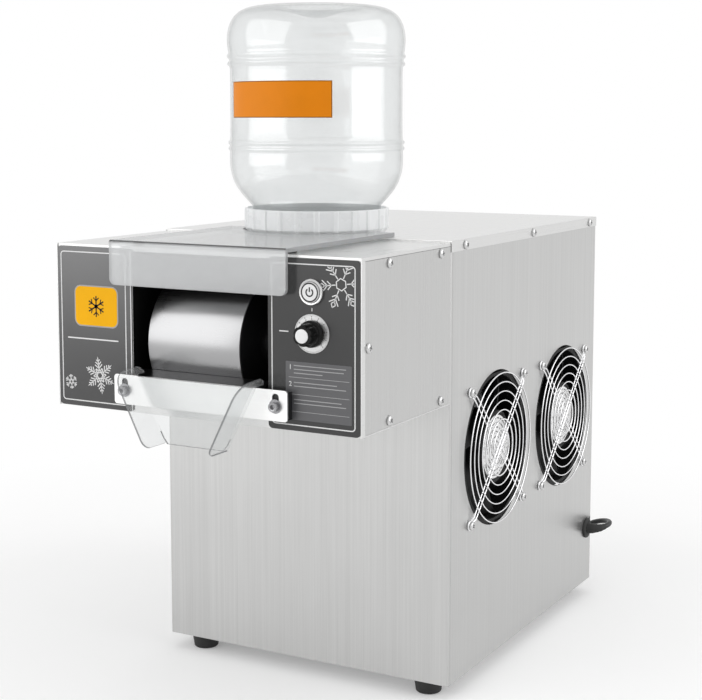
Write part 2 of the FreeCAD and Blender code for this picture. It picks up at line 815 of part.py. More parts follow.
def make_drum():
    """The freezing drum: sleeve, end caps, shaft, bearings and the evaporator coil inside."""
    body = new_body("drum_sleeve")
    rings = new_sketch(body, "YZ_Plane")
    draw_circle(rings, 0, 0, size.drum_radius)
    draw_circle(rings, 0, 0, size.drum_radius - size.drum_skin)
    pad(body, rings, size.drum_length)
    place(body, drum_left, drum_y, drum_z)
    node(body, "drum_sleeve")

    inner = size.drum_radius - size.drum_skin
    plug = as_size(6)
    hub_radius = as_size(20)
    caps = []
    drum_right = drum_left + size.drum_length
    hub_left_end = bearing_centres[0] + size.bearing_width / 2 + 0.5
    hub_right_end = bearing_centres[1] - size.bearing_width / 2 - 0.5
    for disc_x, hub_x, hub_end in ((drum_left, hub_left_end, drum_left), (drum_right - plug, drum_right, hub_right_end)):
        disc = cylinder("cap_disc", inner, plug, disc_x, drum_y, drum_z, AXIS_X)
        hub = cylinder("cap_hub", hub_radius, hub_end - hub_x, hub_x, drum_y, drum_z, AXIS_X)
        bore = cylinder("cap_bore", size.shaft_radius, size.cabinet_width, -half_width, drum_y, drum_z, AXIS_X)
        caps.append(cut("end_cap", fuse("end_cap", [disc, hub]), [bore]))
    node(group("drum_end_caps", caps), "drum_end_caps")

    left_end = gear_left - 3
    right_end = bearing_centres[1] + size.bearing_width / 2 + 14
    shaft = cylinder("shaft_bar", size.shaft_radius, right_end - left_end, left_end, drum_y, drum_z, AXIS_X)
    bore = cylinder("shaft_bore", 4, drum_right - left_end, drum_left + 10, drum_y, drum_z, AXIS_X)
    node(cut("drum_shaft", shaft, [bore]), "drum_shaft")

    rings = []
    for centre in bearing_centres:
        race = cylinder("race", size.bearing_outer, size.bearing_width, centre - size.bearing_width / 2,
                        drum_y, drum_z, AXIS_X)
        bore = cylinder("race_bore", size.bearing_bore, size.cabinet_width, -half_width, drum_y, drum_z, AXIS_X)
        rings.append(cut("bearing", race, [bore]))
    node(group("drum_bearings", rings), "drum_bearings")

    tube = float(size.coil_tube_radius)
    turn_radius = float(inner) - tube - 0.3
    height = float(size.drum_length) - 2 * float(plug) - 4 * tube
    levels = [height * turn / (coil_turns - 1) for turn in range(coil_turns)]
    turns = [Part.makeTorus(turn_radius, tube, FreeCAD.Vector(0, 0, level), AXIS_Z) for level in levels]
    header = Part.makeCylinder(0.8 * tube, height, FreeCAD.Vector(turn_radius, 0, 0), AXIS_Z)
    coil = header.fuse(turns)
    start = drum_left + plug + 2 * tube
    node(feature_of("evaporator_coil", coil, start, drum_y, drum_z, FreeCAD.Rotation(AXIS_Z, AXIS_X)),
         "evaporator_coil")


# ---------------------------------------------------------------- drive
gear_left = -size.window_left - size.chamber_wall / 2 - size.bearing_width / 2 - size.gear_width - 2
drum_teeth = 40
pinion_teeth = 20
gear_centres = size.gear_module * (drum_teeth + pinion_teeth) / 2
motor_y = drum_y + gear_centres
bracket_right = gear_left - 4
bracket_sheet = as_size(2.5)
pinion_shaft_radius = as_size(5)


def gear_face(teeth, module, first_tooth):
    """A spur gear outline with straight-flanked teeth, the first one at an angle in degrees."""
    pitch_radius = module * teeth / 2
    step = 2 * math.pi / teeth
    backlash = 0.12 / pitch_radius
    flank = [(pitch_radius - 1.2 * module, 0.335 * step), (pitch_radius, 0.25 * step - backlash),
             (pitch_radius + 0.95 * module, 0.13 * step)]
    points = []
    for tooth in range(teeth):
        centre = math.radians(first_tooth) + tooth * step
        for radius, half in flank:
            points.append((radius, centre - half))
        for radius, half in reversed(flank):
            points.append((radius, centre + half))
    corners = [FreeCAD.Vector(0, radius * math.cos(angle), radius * math.sin(angle)) for radius, angle in points]
    return Part.Face(Part.makePolygon(corners + corners[:1]))


def gear_solid(teeth, first_tooth, bore):
    """A spur gear on the X axis with a plain bore."""
    width = float(size.gear_width)
    blank = gear_face(teeth, float(size.gear_module), first_tooth).extrude(AXIS_X * width)
    return blank.cut(Part.makeCylinder(float(bore), width, FreeCAD.Vector(), AXIS_X))


def make_drive():
    """Drum gear, motor pinion, gear motor and its bracket in the left of the head."""
    gear = gear_solid(drum_teeth, 0, size.shaft_radius)
    node(feature_of("drum_gear", gear, gear_left, drum_y, drum_z), "drum_gear")

    half_tooth = 180 / pinion_teeth
    pinion = gear_solid(pinion_teeth, 180 + half_tooth, pinion_shaft_radius)
    shaft = Part.makeCylinder(float(pinion_shaft_radius), float(size.gear_width + 4 + bracket_sheet + 14),
                              FreeCAD.Vector(-float(4 + bracket_sheet + 12), 0, 0), AXIS_X)
    pinion = pinion.fuse(shaft)
    node(feature_of("motor_pinion", pinion, gear_left, motor_y, drum_z), "motor_pinion")

    motor_left = bracket_right - bracket_sheet - size.motor_length
    case = cylinder("motor_case", size.motor_radius, size.motor_length, motor_left, motor_y, drum_z, AXIS_X)
    bore = cylinder("motor_bore", pinion_shaft_radius + 0.05, 13, bracket_right - bracket_sheet - 13,
                    motor_y, drum_z, AXIS_X)
    node(cut("gear_motor", case, [bore]), "gear_motor")

    reach = size.motor_radius + 4
    low = head_floor + size.sheet_steel
    body = new_body("motor_bracket")
    plate = draw_box(new_sketch(body, "YZ_Plane", bracket_right - bracket_sheet), motor_y - reach, low,
                     motor_y + reach, drum_z + reach)
    pad(body, plate, bracket_sheet)
    foot = draw_box(new_sketch(body, "YZ_Plane", bracket_right - 26), motor_y - reach, low,
                    motor_y + reach, low + bracket_sheet)
    pad(body, foot, 26)
    hole = draw_circle(new_sketch(body, "YZ_Plane", bracket_right), motor_y, drum_z, pinion_shaft_radius + 1)
    pocket(body, hole, bracket_sheet)
    place(body)
    node(body, "motor_bracket")


# ---------------------------------------------------------------- milk feed
def make_milk_feed():
    """Trough behind the drum, the bottle seat under the lid and the tube between them."""
    gap = 1.5
    near = drum_y + 34
    far = chamber_back - size.chamber_wall
    low = head_floor + size.sheet_steel
    high = drum_z - 4
    trough_left = drum_left + 3
    length = size.drum_length - 6
    block = box("trough_block", length, far - near, high - low, trough_left, near, low)
    room = cylinder("trough_room", size.drum_radius + gap, size.cabinet_width, -half_width, drum_y, drum_z, AXIS_X)
    well = box("trough_well", length - 6, far - near - 4, high - low, trough_left + 3, near + 2, low + 3)
    node(cut("milk_trough", block, [room, well]), "milk_trough")

    seat_radius = as_size(24)
    seat_height = as_size(30)
    seat_low = lid_under - seat_height
    cup = cylinder("seat_cup", seat_radius, seat_height, 0, size.bottle_back, seat_low)
    flange = cylinder("seat_flange", size.bottle_back - 2, 2.5, 0, size.bottle_back, lid_under - 2.5)
    nipple = cylinder("seat_nipple", feed_radius, 14, 0, size.bottle_back, seat_low - 14)
    bore = cylinder("seat_bore", spout_hole, seat_height - 3, 0, size.bottle_back, seat_low + 3)
    drain = cylinder("seat_drain", feed_radius - 1.5, seat_height, 0, size.bottle_back, seat_low - 14)
    node(cut("bottle_seat", fuse("seat", [cup, flange, nipple]), [bore, drain]), "bottle_seat")

    start = at(0, size.bottle_back, seat_low - 14)
    route = [start, at(0, size.bottle_back, feed_end_z), at(0, chamber_back - size.chamber_wall - 6, feed_end_z)]
    tube = tube_along(rounded_path(route), float(feed_radius))
    node(feature_of("feed_tube", tube), "feed_tube")


# ---------------------------------------------------------------- scraper
def bar_screw_places():
    """The two scraper screws along X."""
    return [size.bar_offset + side * size.bar_screw_pitch / 2 for side in (-1, 1)]


bar_screw_z = bar_low + 13
keyhole_radius = as_size(5.2)
keyhole_slot = as_size(3.2)
bar_screw_radius = as_size(2.5)


def make_scraper():
    """Stainless bar with inverted keyholes, black block behind it, blade and screws."""
    left = size.bar_offset - size.bar_length / 2
    right = left + size.bar_length
    body = new_body("scraper_bar")
    face = -bar_front
    pad(body, draw_box(new_sketch(body, "XZ_Plane", face), left, bar_low, right, bar_high), size.bar_plate, True)
    round_edges(body, 4.0, lambda edge: runs_along(edge, AXIS_Y))
    wide = new_sketch(body, "XZ_Plane", face)
    narrow = new_sketch(body, "XZ_Plane", face)
    for x in bar_screw_places():
        draw_circle(wide, x, bar_screw_z, keyhole_radius)
        draw_box(narrow, x - keyhole_slot, bar_screw_z, x + keyhole_slot, bar_screw_z + 10)
    pocket(body, wide, size.bar_plate)
    pocket(body, narrow, size.bar_plate)
    place(body)
    node(body, "scraper_bar")

    body = new_body("scraper_block")
    back = bar_front + size.bar_plate + size.bar_block
    pad(body, draw_box(new_sketch(body, "XZ_Plane", -back), left + 1, bar_low + 1, right - 1,
                       bar_high - size.blade_thickness - 0.5), size.bar_block)
    holes = new_sketch(body, "XZ_Plane", -back)
    for x in bar_screw_places():
        draw_circle(holes, x, bar_screw_z, bar_screw_radius + 0.1)
    pocket(body, holes, size.bar_block, True)
    place(body)
    node(body, "scraper_block")

    # the blade lies on the block and rises to the drum, square to the drum's own radius
    tip_z = bar_high + 3.3
    drop = float(drum_z - tip_z)
    tip_reach = math.sqrt(float(size.drum_radius + size.blade_gap) ** 2 - drop ** 2)
    tip_y = drum_y - tip_reach
    front = bar_front + size.bar_plate
    back = head_front - 1
    low = bar_high - size.blade_thickness - 0.5
    body = new_body("scraper_blade")
    profile = draw_outline(new_sketch(body, "YZ_Plane", -size.window_left + 3), [
        (front, low), (back, low), (tip_y, tip_z - 0.4), (tip_y, tip_z),
        (back, low + size.blade_thickness), (front, low + size.blade_thickness)])
    pad(body, profile, size.window_left + size.window_right - 6)
    place(body)
    node(body, "scraper_blade")

    screws = []
    for x in bar_screw_places():
        washer = cylinder("washer", 6.2, 1, x, bar_front, bar_screw_z, -AXIS_Y)
        hole = cylinder("washer_hole", bar_screw_radius, 1, x, bar_front, bar_screw_z, -AXIS_Y)
        screws.append(cut("washer", washer, [hole]))
        head = cylinder("socket_head", 4.25, 4.5, x, bar_front - 1, bar_screw_z, -AXIS_Y)
        reach = 2 + size.bar_plate + size.bar_block + size.fascia_thickness + size.sheet_steel
        shank = cylinder("socket_shank", bar_screw_radius, reach, x, bar_front - 2, bar_screw_z, AXIS_Y)
        key = doc.addObject("Part::Prism", "socket_key")
        key.Polygon = 6
        bind(key, "Circumradius", 2.3)
        bind(key, "Height", 2.6)
        key.Placement = FreeCAD.Placement(FreeCAD.Vector(), FreeCAD.Rotation(AXIS_Z, AXIS_Y))
        place(key, x, bar_front - 5.5, bar_screw_z)
        screws.append(cut("socket_screw", fuse("socket_screw", [head, shank]), [key]))
    node(group("scraper_screws", screws), "scraper_screws")


# ---------------------------------------------------------------- chute and splash cover
def wing_solid(side, slope, height):
    """One side wing of the chute in its own plane, hooked over the scraper bar."""
    sheet_thick = float(size.chute_sheet)
    reach = float(size.chute_reach)
    rest = 1.0
    hook = float(head_front - chute_face)
    outline = [(0, 0), (-reach + 9, 0), (-reach, 9), (-reach, height - 8), (-reach + 16, height + 7),
               (0, height + 8), (hook, height + 1), (hook - 2, height + rest), (0, height + rest)]
    points = [FreeCAD.Vector(0, y, z) for y, z in outline]
    edges = [
        Part.LineSegment(points[0], points[1]).toShape(),
        Part.Arc(points[1], FreeCAD.Vector(0, -reach + 2.6, 2.6), points[2]).toShape(),
        Part.LineSegment(points[2], points[3]).toShape(),
        Part.Arc(points[3], FreeCAD.Vector(0, -reach + 4.7, height + 2.6), points[4]).toShape(),
        Part.LineSegment(points[4], points[5]).toShape(),
        Part.Arc(points[5], FreeCAD.Vector(0, hook * 0.72, height + 6), points[6]).toShape(),
        Part.LineSegment(points[6], points[7]).toShape(),
        Part.LineSegment(points[7], points[8]).toShape(),
        Part.LineSegment(points[8], points[0]).toShape()]
    wing = Part.Face(Part.Wire(edges)).extrude(FreeCAD.Vector(-side * sheet_thick, 0, 0))
    wing.rotate(FreeCAD.Vector(), AXIS_Y, side * slope)
    wing.translate(FreeCAD.Vector(side * float(size.chute_foot), 0, 0))
    return wing


def make_chute():
    """Clear V-shaped chute: a back wall in front of the scraper bar and two wings."""
    drop = float(size.chute_drop)
    lean = math.atan2(float(size.chute_top - size.chute_foot), drop)
    height = drop / math.cos(lean)
    top = float(size.chute_top)
    foot = float(size.chute_foot)
    corners = [(-foot + 4, 0), (foot - 4, 0), (foot, 5), (top, drop), (-top, drop), (-foot, 5)]
    points = [FreeCAD.Vector(x, 0, z) for x, z in corners]
    wall = Part.Face(Part.makePolygon(points + points[:1])).extrude(-AXIS_Y * float(size.chute_sheet))
    chute = wall
    for side in (-1, 1):
        chute = chute.fuse(wing_solid(side, math.degrees(lean), height))
    chute = chute.removeSplitter()
    node(feature_of("chute", chute, 0.5, chute_face, bar_high - size.chute_drop), "chute")


def make_cover():
    """Clear cover: a flat plate with a front apron and a notch round the bottle's cap."""
    half = size.cover_width / 2
    body = new_body("top_cover")
    plate = draw_box(new_sketch(body, "XY_Plane", cover_under), -half, -size.cover_front, half, size.cover_lap)
    pad(body, plate, size.cover_sheet)
    apron = draw_box(new_sketch(body, "XY_Plane", cover_top), -half, -size.cover_front, half,
                     size.cover_sheet - size.cover_front)
    pad(body, apron, size.cover_apron, True)
    notch = draw_circle(new_sketch(body, "XY_Plane", cover_under), 0, size.bottle_back, size.cap_radius + 1.5)
    pocket(body, notch, size.cover_sheet, True)
    round_edges(body, 6.0, lambda edge: runs_along(edge, AXIS_Y)
                and edge.BoundBox.ZMax < float(cover_under) - 1)
    round_edges(body, 2.5, lambda edge: runs_along(edge, AXIS_X)
                and edge.BoundBox.ZMin > float(cover_top) - 1e-3
                and edge.BoundBox.YMax < 1 - float(size.cover_front))
    place(body)
    node(body, "top_cover")

    pads = []
    depth = cover_under - head_top - 0.2
    for x in (-half + 12, half - 12):
        pads.append(cylinder("cover_pad", 5, depth, x, 20 - size.head_reach, cover_under - depth))
    node(group("cover_pads", pads), "cover_pads")


# ---------------------------------------------------------------- bottle
cap_floor = as_size(6)


def make_bottle():
    """Inverted clear bottle with two ribs, and its screw cap with the outlet spout."""
    barrel = float(size.bottle_radius)
    tall = float(size.bottle_height)
    wall = float(size.bottle_wall)
    neck = float(size.cap_radius) - 7
    neck_length = float(size.cap_height - cap_floor)

    def skin(inset):
        """The bottle's outline on the XZ plane, drawn inwards by a wall."""
        side = barrel - inset
        top = tall - inset
        corner = 27.0
        throat = neck - inset
        bend = FreeCAD.Vector(side - corner * (1 - math.cos(math.pi / 4)), 0,
                              top - corner * (1 - math.sin(math.pi / 4)))
        points = [FreeCAD.Vector(throat, 0, -neck_length), FreeCAD.Vector(throat, 0, 4),
                  FreeCAD.Vector(side, 0, 36), FreeCAD.Vector(side, 0, top - corner),
                  FreeCAD.Vector(side - corner, 0, top), FreeCAD.Vector(22, 0, top - 1),
                  FreeCAD.Vector(0, 0, top - 9)]
        return [Part.LineSegment(points[0], points[1]).toShape(),
                Part.Arc(points[1], FreeCAD.Vector(side - 4.5, 0, 19), points[2]).toShape(),
                Part.LineSegment(points[2], points[3]).toShape(),
                Part.Arc(points[3], bend, points[4]).toShape(),
                Part.LineSegment(points[4], points[5]).toShape(),
                Part.LineSegment(points[5], points[6]).toShape()], points

    outer, outer_points = skin(0.0)
    inner, inner_points = skin(wall)
    rim = Part.LineSegment(outer_points[0], inner_points[0]).toShape()
    crown = Part.LineSegment(outer_points[-1], inner_points[-1]).toShape()
    half_section = Part.Face(Part.Wire(Part.__sortEdges__(outer + inner + [rim, crown])))
    glass = half_section.revolve(FreeCAD.Vector(), AXIS_Z, 360)
    for height in (62.7, 142.6):
        rib = Part.makeTorus(barrel - 1.0, 2.4, FreeCAD.Vector(0, 0, height), AXIS_Z)
        core = Part.makeCylinder(barrel - wall, 10, FreeCAD.Vector(0, 0, height - 5))
        glass = glass.fuse(rib.cut(core))
    node(feature_of("water_bottle", glass, 0, size.bottle_back, cap_top), "water_bottle")

    body = new_body("bottle_cap")
    radius = size.cap_radius
    inside = radius - size.cap_wall
    spout = size.spout_radius
    profile = draw_outline(new_sketch(body, "XZ_Plane"), [
        (0, cap_floor), (inside, cap_floor), (inside, size.cap_height), (radius, size.cap_height), (radius, 6),
        (radius - 5, 0), (spout, 0), (spout, -size.spout_length), (0, -size.spout_length)])
    revolve(body, profile, "V_Axis")
    place(body, 0, size.bottle_back, cap_bottom)
    node(body, "bottle_cap")


# ---------------------------------------------------------------- controls
def make_controls():
    """Power button with its bezel, dial plate, speed control, knob and knob cap."""
    front = head_front
    body = new_body("button_bezel")
    ring = size.bezel_radius
    profile = draw_outline(new_sketch(body, "XY_Plane"), [
        (button_stem + 0.1, 24), (button_barrel, 24), (button_barrel, 0), (ring, 0), (ring, -2.2),
        (ring - 0.8, -3), (size.button_radius + 0.2, -3), (size.button_radius + 0.2, -0.4), (button_stem + 0.1, -0.4)])
    revolve(body, profile, "V_Axis")
    place(body, size.control_x, front, button_z)
    node(body, "button_bezel")

    body = new_body("power_button")
    cap_back = -0.5 - size.button_travel
    profile = draw_outline(new_sketch(body, "XY_Plane"), [
        (0, 20), (button_stem, 20), (button_stem, cap_back), (size.button_radius, cap_back),
        (size.button_radius, cap_back - 1), (size.button_radius - 0.8, cap_back - 1.8), (0, cap_back - 1.8)])
    revolve(body, profile, "V_Axis")
    place(body, size.control_x, front, button_z)
    node(body, "power_button")

    disc = cylinder("dial_disc", size.dial_radius, 0.8, size.control_x, front, dial_z, -AXIS_Y)
    hole = cylinder("dial_hole", dial_bush, 0.8, size.control_x, front, dial_z, -AXIS_Y)
    node(cut("speed_dial", disc, [hole]), "speed_dial")

    bush = cylinder("control_bush", dial_bush, 8, size.control_x, front - 2.5, dial_z, AXIS_Y)
    can = cylinder("control_can", 12, 14, size.control_x, front + 5.5, dial_z, AXIS_Y)
    bore = cylinder("control_bore", knob_shaft + 0.05, 30, size.control_x, front - 5, dial_z, AXIS_Y)
    stop = cylinder("control_stop", 12, 2, size.control_x, front + 19.5, dial_z, AXIS_Y)
    node(fuse("speed_control", [cut("speed_control", fuse("control", [bush, can]), [bore]), stop]), "speed_control")

    body = new_body("speed_knob")
    radius = size.knob_radius
    length = size.knob_length
    profile = draw_outline(new_sketch(body, "XY_Plane"), [
        (0, 16), (knob_shaft, 16), (knob_shaft, -3.6), (dial_bush + 0.8, -3.6), (dial_bush + 0.8, -1.3),
        (radius, -1.3), (radius, -4), (radius - 1.5, -5), (radius - 2.5, -length), (0, -length)])
    revolve(body, profile, "V_Axis")
    grips = draw_circle(new_sketch(body, "XZ_Plane", length), radius + 8, 0, 10)
    flute = pocket(body, grips, length - 5)
    pattern = body.newObject("PartDesign::PolarPattern", "knob_flutes")
    pattern.Originals = [flute]
    pattern.Axis = (grips, ["N_Axis"])
    pattern.Angle = 360
    pattern.Occurrences = 6
    body.Tip = pattern
    place(body, size.control_x, front, dial_z)
    node(body, "speed_knob")

    cap = cylinder("cap_disc", size.knob_cap_radius, 1.2, size.control_x, front - length, dial_z, -AXIS_Y)
    rounded = doc.addObject("Part::Fillet", "knob_cap_round")
    rounded.Base = cap
    doc.recompute()
    rims = [index + 1 for index, edge in enumerate(cap.Shape.Edges)
            if isinstance(edge.Curve, Part.Circle) and edge.BoundBox.YMax < float(front - length - shift_y) - 1]
    rounded.Edges = [(index, 0.8, 0.8) for index in rims]
    node(rounded, "knob_cap")


button_stem = as_size(7)
knob_shaft = as_size(3)


# ---------------------------------------------------------------- fans
fan_names = ["front_fan", "rear_fan"]
rotor_hub = as_size(37)
axle_radius = as_size(3)
blade_count = 7


def make_fan_frame(name, y):
    """Square plastic frame with a round bore, the motor on spider arms behind the rotor."""
    half = size.fan_size / 2
    body = new_body(name + "_frame")
    outline = new_sketch(body, "YZ_Plane")
    draw_box(outline, -half, -half, half, half)
    draw_circle(outline, 0, 0, size.fan_bore)
    pad(body, outline, size.fan_depth)
    arms = new_sketch(body, "YZ_Plane")
    draw_box(arms, -size.fan_bore - 1, -3.5, size.fan_bore + 1, 3.5)
    pad(body, arms, 4)
    arms = new_sketch(body, "YZ_Plane")
    draw_box(arms, -3.5, -size.fan_bore - 1, 3.5, size.fan_bore + 1)
    pad(body, arms, 4)
    pad(body, draw_circle(new_sketch(body, "YZ_Plane"), 0, 0, 30), 13)
    bore = draw_circle(new_sketch(body, "YZ_Plane", 13), 0, 0, axle_radius + 0.05)
    pocket(body, bore, 9)
    holes = new_sketch(body, "YZ_Plane")
    edge = size.fan_pitch / 2
    for dy in (-edge, edge):
        for dz in (-edge, edge):
            draw_circle(holes, dy, dz, screw_hole)
    pocket(body, holes, size.fan_depth, True)
    place(body, inner_half - size.fan_depth, y, fan_z)
    node(body, name + "_frame")


def make_fan_rotor(name, y):
    """Hub, axle and pitched blades in one moulding."""
    hub = Part.makeCylinder(float(rotor_hub), 20, FreeCAD.Vector(14, 0, 0), AXIS_X)
    axle = Part.makeCylinder(float(axle_radius), 9, FreeCAD.Vector(5.5, 0, 0), AXIS_X)
    sweep = float(size.fan_bore) - 1.5
    ring = Part.makeCylinder(sweep, 24, FreeCAD.Vector(10, 0, 0), AXIS_X)
    ring = ring.cut(Part.makeCylinder(float(rotor_hub) - 3, 24, FreeCAD.Vector(10, 0, 0), AXIS_X))
    rotor = hub.fuse(axle)
    for index in range(blade_count):
        blade = Part.makeBox(2, 30, sweep, FreeCAD.Vector(-1, -15, 0))
        blade.rotate(FreeCAD.Vector(), AXIS_Z, 52)
        blade.translate(FreeCAD.Vector(23, 0, 0))
        blade.rotate(FreeCAD.Vector(), AXIS_X, index * 360 / blade_count)
        rotor = rotor.fuse(blade.common(ring))
    rotor = rotor.removeSplitter()
    node(feature_of(name + "_rotor", rotor, inner_half - size.fan_depth, y, fan_z), name + "_rotor")


def make_fan_guard(name, y):
    """Wire guard: rings on two crossed pairs of wires that bend down to four eyelets."""
    wire = float(size.guard_wire)
    stand = float(size.guard_standoff) - wire
    half = float(size.fan_pitch) / 2 * math.sqrt(2)
    under = stand - 1.6 * wire
    guard = None
    for index in range(7):
        ring = Part.makeTorus(19 + index * 9.3, wire, FreeCAD.Vector(stand, 0, 0), AXIS_X)
        guard = ring if guard is None else guard.fuse(ring)
    for turn in (45, 135):
        for across in (-5.5, 5.5):
            route = [FreeCAD.Vector(wire, -half + 4, across * 0.5), FreeCAD.Vector(under, 9 - half, across * 0.8),
                     FreeCAD.Vector(under, 22 - half, across), FreeCAD.Vector(under, half - 22, across),
                     FreeCAD.Vector(under, half - 9, across * 0.8), FreeCAD.Vector(wire, half - 4, across * 0.5)]
            edges = [Part.LineSegment(one, two).toShape() for one, two in zip(route, route[1:])]
            ring = Part.Wire(Part.Circle(route[0], route[1] - route[0], wire).toShape())
            strand = Part.Wire(edges).makePipeShell([ring], True, False, 2)
            strand.rotate(FreeCAD.Vector(), AXIS_X, turn)
            guard = guard.fuse(strand)
        for end in (-half, half):
            eyelet = Part.makeTorus(4.4, wire, FreeCAD.Vector(wire, 0, 0), AXIS_X)
            eyelet.translate(FreeCAD.Vector(0, end, 0))
            eyelet.rotate(FreeCAD.Vector(), AXIS_X, turn)
            guard = guard.fuse(eyelet)
    node(feature_of(name + "_guard", guard, half_width, y, fan_z), name + "_guard")


def make_fans():
    """Both cooling fans in the right side."""
    for name, y in zip(fan_names, fan_places):
        make_fan_frame(name, y)
        make_fan_rotor(name, y)
        make_fan_guard(name, y)


# ---------------------------------------------------------------- refrigeration
condenser_right = inner_half - size.fan_depth - 4
condenser_depth = as_size(44)
compressor_x = as_size(-70)
compressor_y = as_size(150)
compressor_base = cabinet_floor + size.sheet_steel + 14
compressor_radius = as_size(58)
compressor_height = as_size(165)


def make_condenser():
    """Finned core with a header at each end, standing on the base tray by its end plates."""
    left = condenser_right - condenser_depth
    near = size.fan_first - size.fan_size / 2
    far = near + size.fan_spacing + size.fan_size
    low = fan_z - size.fan_size / 2
    body = new_body("condenser")
    pad(body, draw_box(new_sketch(body, "XZ_Plane", -near), left, low, condenser_right, low + size.fan_size),
        far - near, True)
    groove = draw_box(new_sketch(body, "XZ_Plane", -near), left, low + 6, left + 9, low + 14)
    repeat_up(body, pocket(body, groove, far - near), groove, 9, 15)
    for start in (near, far - 3):
        foot = draw_box(new_sketch(body, "XZ_Plane", -start), left, cabinet_floor + size.sheet_steel,
                        condenser_right, low + size.fan_size)
        pad(body, foot, 3, True)
    place(body)
    node(body, "condenser")


def make_compressor():
    """Black compressor can on a foot plate with rubber grommets."""
    radius = compressor_radius
    body = new_body("compressor")
    profile = draw_outline(new_sketch(body, "XZ_Plane"), [
        (0, 0), (radius - 14, 0), (radius - 2, 10), (radius - 2, 88), (radius, 90), (radius, 96), (radius - 2, 98),
        (radius - 2, compressor_height - 26), (radius - 16, compressor_height - 5), (radius - 34, compressor_height),
        (0, compressor_height)])
    revolve(body, profile, "V_Axis")
    side = radius + 6
    pad(body, draw_box(new_sketch(body, "XY_Plane"), -side, 18 - side, side, side - 18), 3)
    place(body, compressor_x, compressor_y, compressor_base)
    node(body, "compressor")

    mounts = []
    for dx in (-1, 1):
        for dy in (-1, 1):
            x = compressor_x + dx * (side - 9)
            y = compressor_y + dy * (side - 27)
            mounts.append(cylinder("mount", 8, 14, x, y, compressor_base - 14))
    node(group("compressor_mounts", mounts), "compressor_mounts")


def make_refrigerant_lines():
    """Rotary joint on the drum shaft, suction line to the compressor, line to the condenser."""
    bearing_face = bearing_centres[1] + size.bearing_width / 2
    joint_length = as_size(20)
    joint = cylinder("joint_case", 14, joint_length, bearing_face, drum_y, drum_z, AXIS_X)
    bore = cylinder("joint_bore", size.bearing_bore, joint_length - 3, bearing_face, drum_y, drum_z, AXIS_X)
    node(cut("rotary_joint", joint, [bore]), "rotary_joint")

    radius = 4.0
    joint_end = bearing_face + joint_length
    top = compressor_base + compressor_height
    suction = [at(joint_end, drum_y, drum_z), at(joint_end + 20, drum_y, drum_z), at(joint_end + 20, -30, drum_z + 8),
               at(60, 40, drum_z + 10), at(compressor_x + 30, compressor_y - 40, drum_z),
               at(compressor_x, compressor_y, drum_z - 30), at(compressor_x, compressor_y, top)]
    entry_x = condenser_right - condenser_depth
    liquid = [at(compressor_x + compressor_radius - 2, compressor_y, compressor_base + 120),
              at(compressor_x + compressor_radius + 20, compressor_y, compressor_base + 120),
              at(entry_x - 30, compressor_y + 40, compressor_base + 150),
              at(entry_x - 16, compressor_y + 70, fan_z + 27.5), at(entry_x, compressor_y + 70, fan_z + 27.5)]
    tubes = [tube_along(rounded_path(route), radius) for route in (suction, liquid)]
    node(feature_of("refrigerant_lines", Part.makeCompound(tubes)), "refrigerant_lines")


def make_control_board():
    """Circuit board on four standoffs inside the head's right plate."""
    thick = as_size(1.6)
    stand = as_size(8)
    right = inner_half - stand
    near, low = drum_y - 4, head_floor + 22
    board = box("board_sheet", thick, 80, 96, right - thick, near, low)
    pieces = [board]
    for y, z, length, width, height in ((8, 8, 18, 16, 20), (34, 8, 18, 16, 20), (8, 40, 24, 40, 34),
                                        (56, 44, 12, 16, 40), (60, 8, 20, 14, 14)):
        pieces.append(box("board_part", length, width, height, right - thick - length, near + y, low + z))
    node(fuse("control_board", pieces), "control_board")
    posts = []
    for y in (5, 75):
        for z in (4, 92):
            posts.append(cylinder("standoff", 3, stand, right, near + y, low + z, AXIS_X))
    node(group("board_standoffs", posts), "board_standoffs")


# ---------------------------------------------------------------- mains cord
gland_neck = as_size(8)
gland_stand = as_size(3.5)
coil_x = as_size(30)
coil_y = size.cabinet_depth + 60
coil_inner = as_size(21)
coil_outer = as_size(45)
plug_x = as_size(-6)
plug_y = as_size(408.6)

# the cord's route in the drawing: out of the gland, round the cabinet's rear corner and
# down to the worktop; then the short tail from the top of the coil to the plug
CORD_ROUTE = [(163.5, 374.6, 78.5), (173, 375, 78.8), (181.8, 384, 81), (182.3, 397, 82.5), (173.5, 407.5, 81),
              (160, 413, 77), (147.8, 416.6, 71), (138, 420, 60), (130.5, 422.3, 46), (123, 423.3, 31.8),
              (113.5, 423, 18.8), (101, 421.5, 9.4), (86, 419.3, 4.6), (70.5, 416.6, 3.2), (55.4, 413.3, 3),
              (40.9, 409.4, 3)]
TAIL_ROUTE = [(22, 408.9, 9), (8, 408.2, 9), (-6, 408.6, 9)]


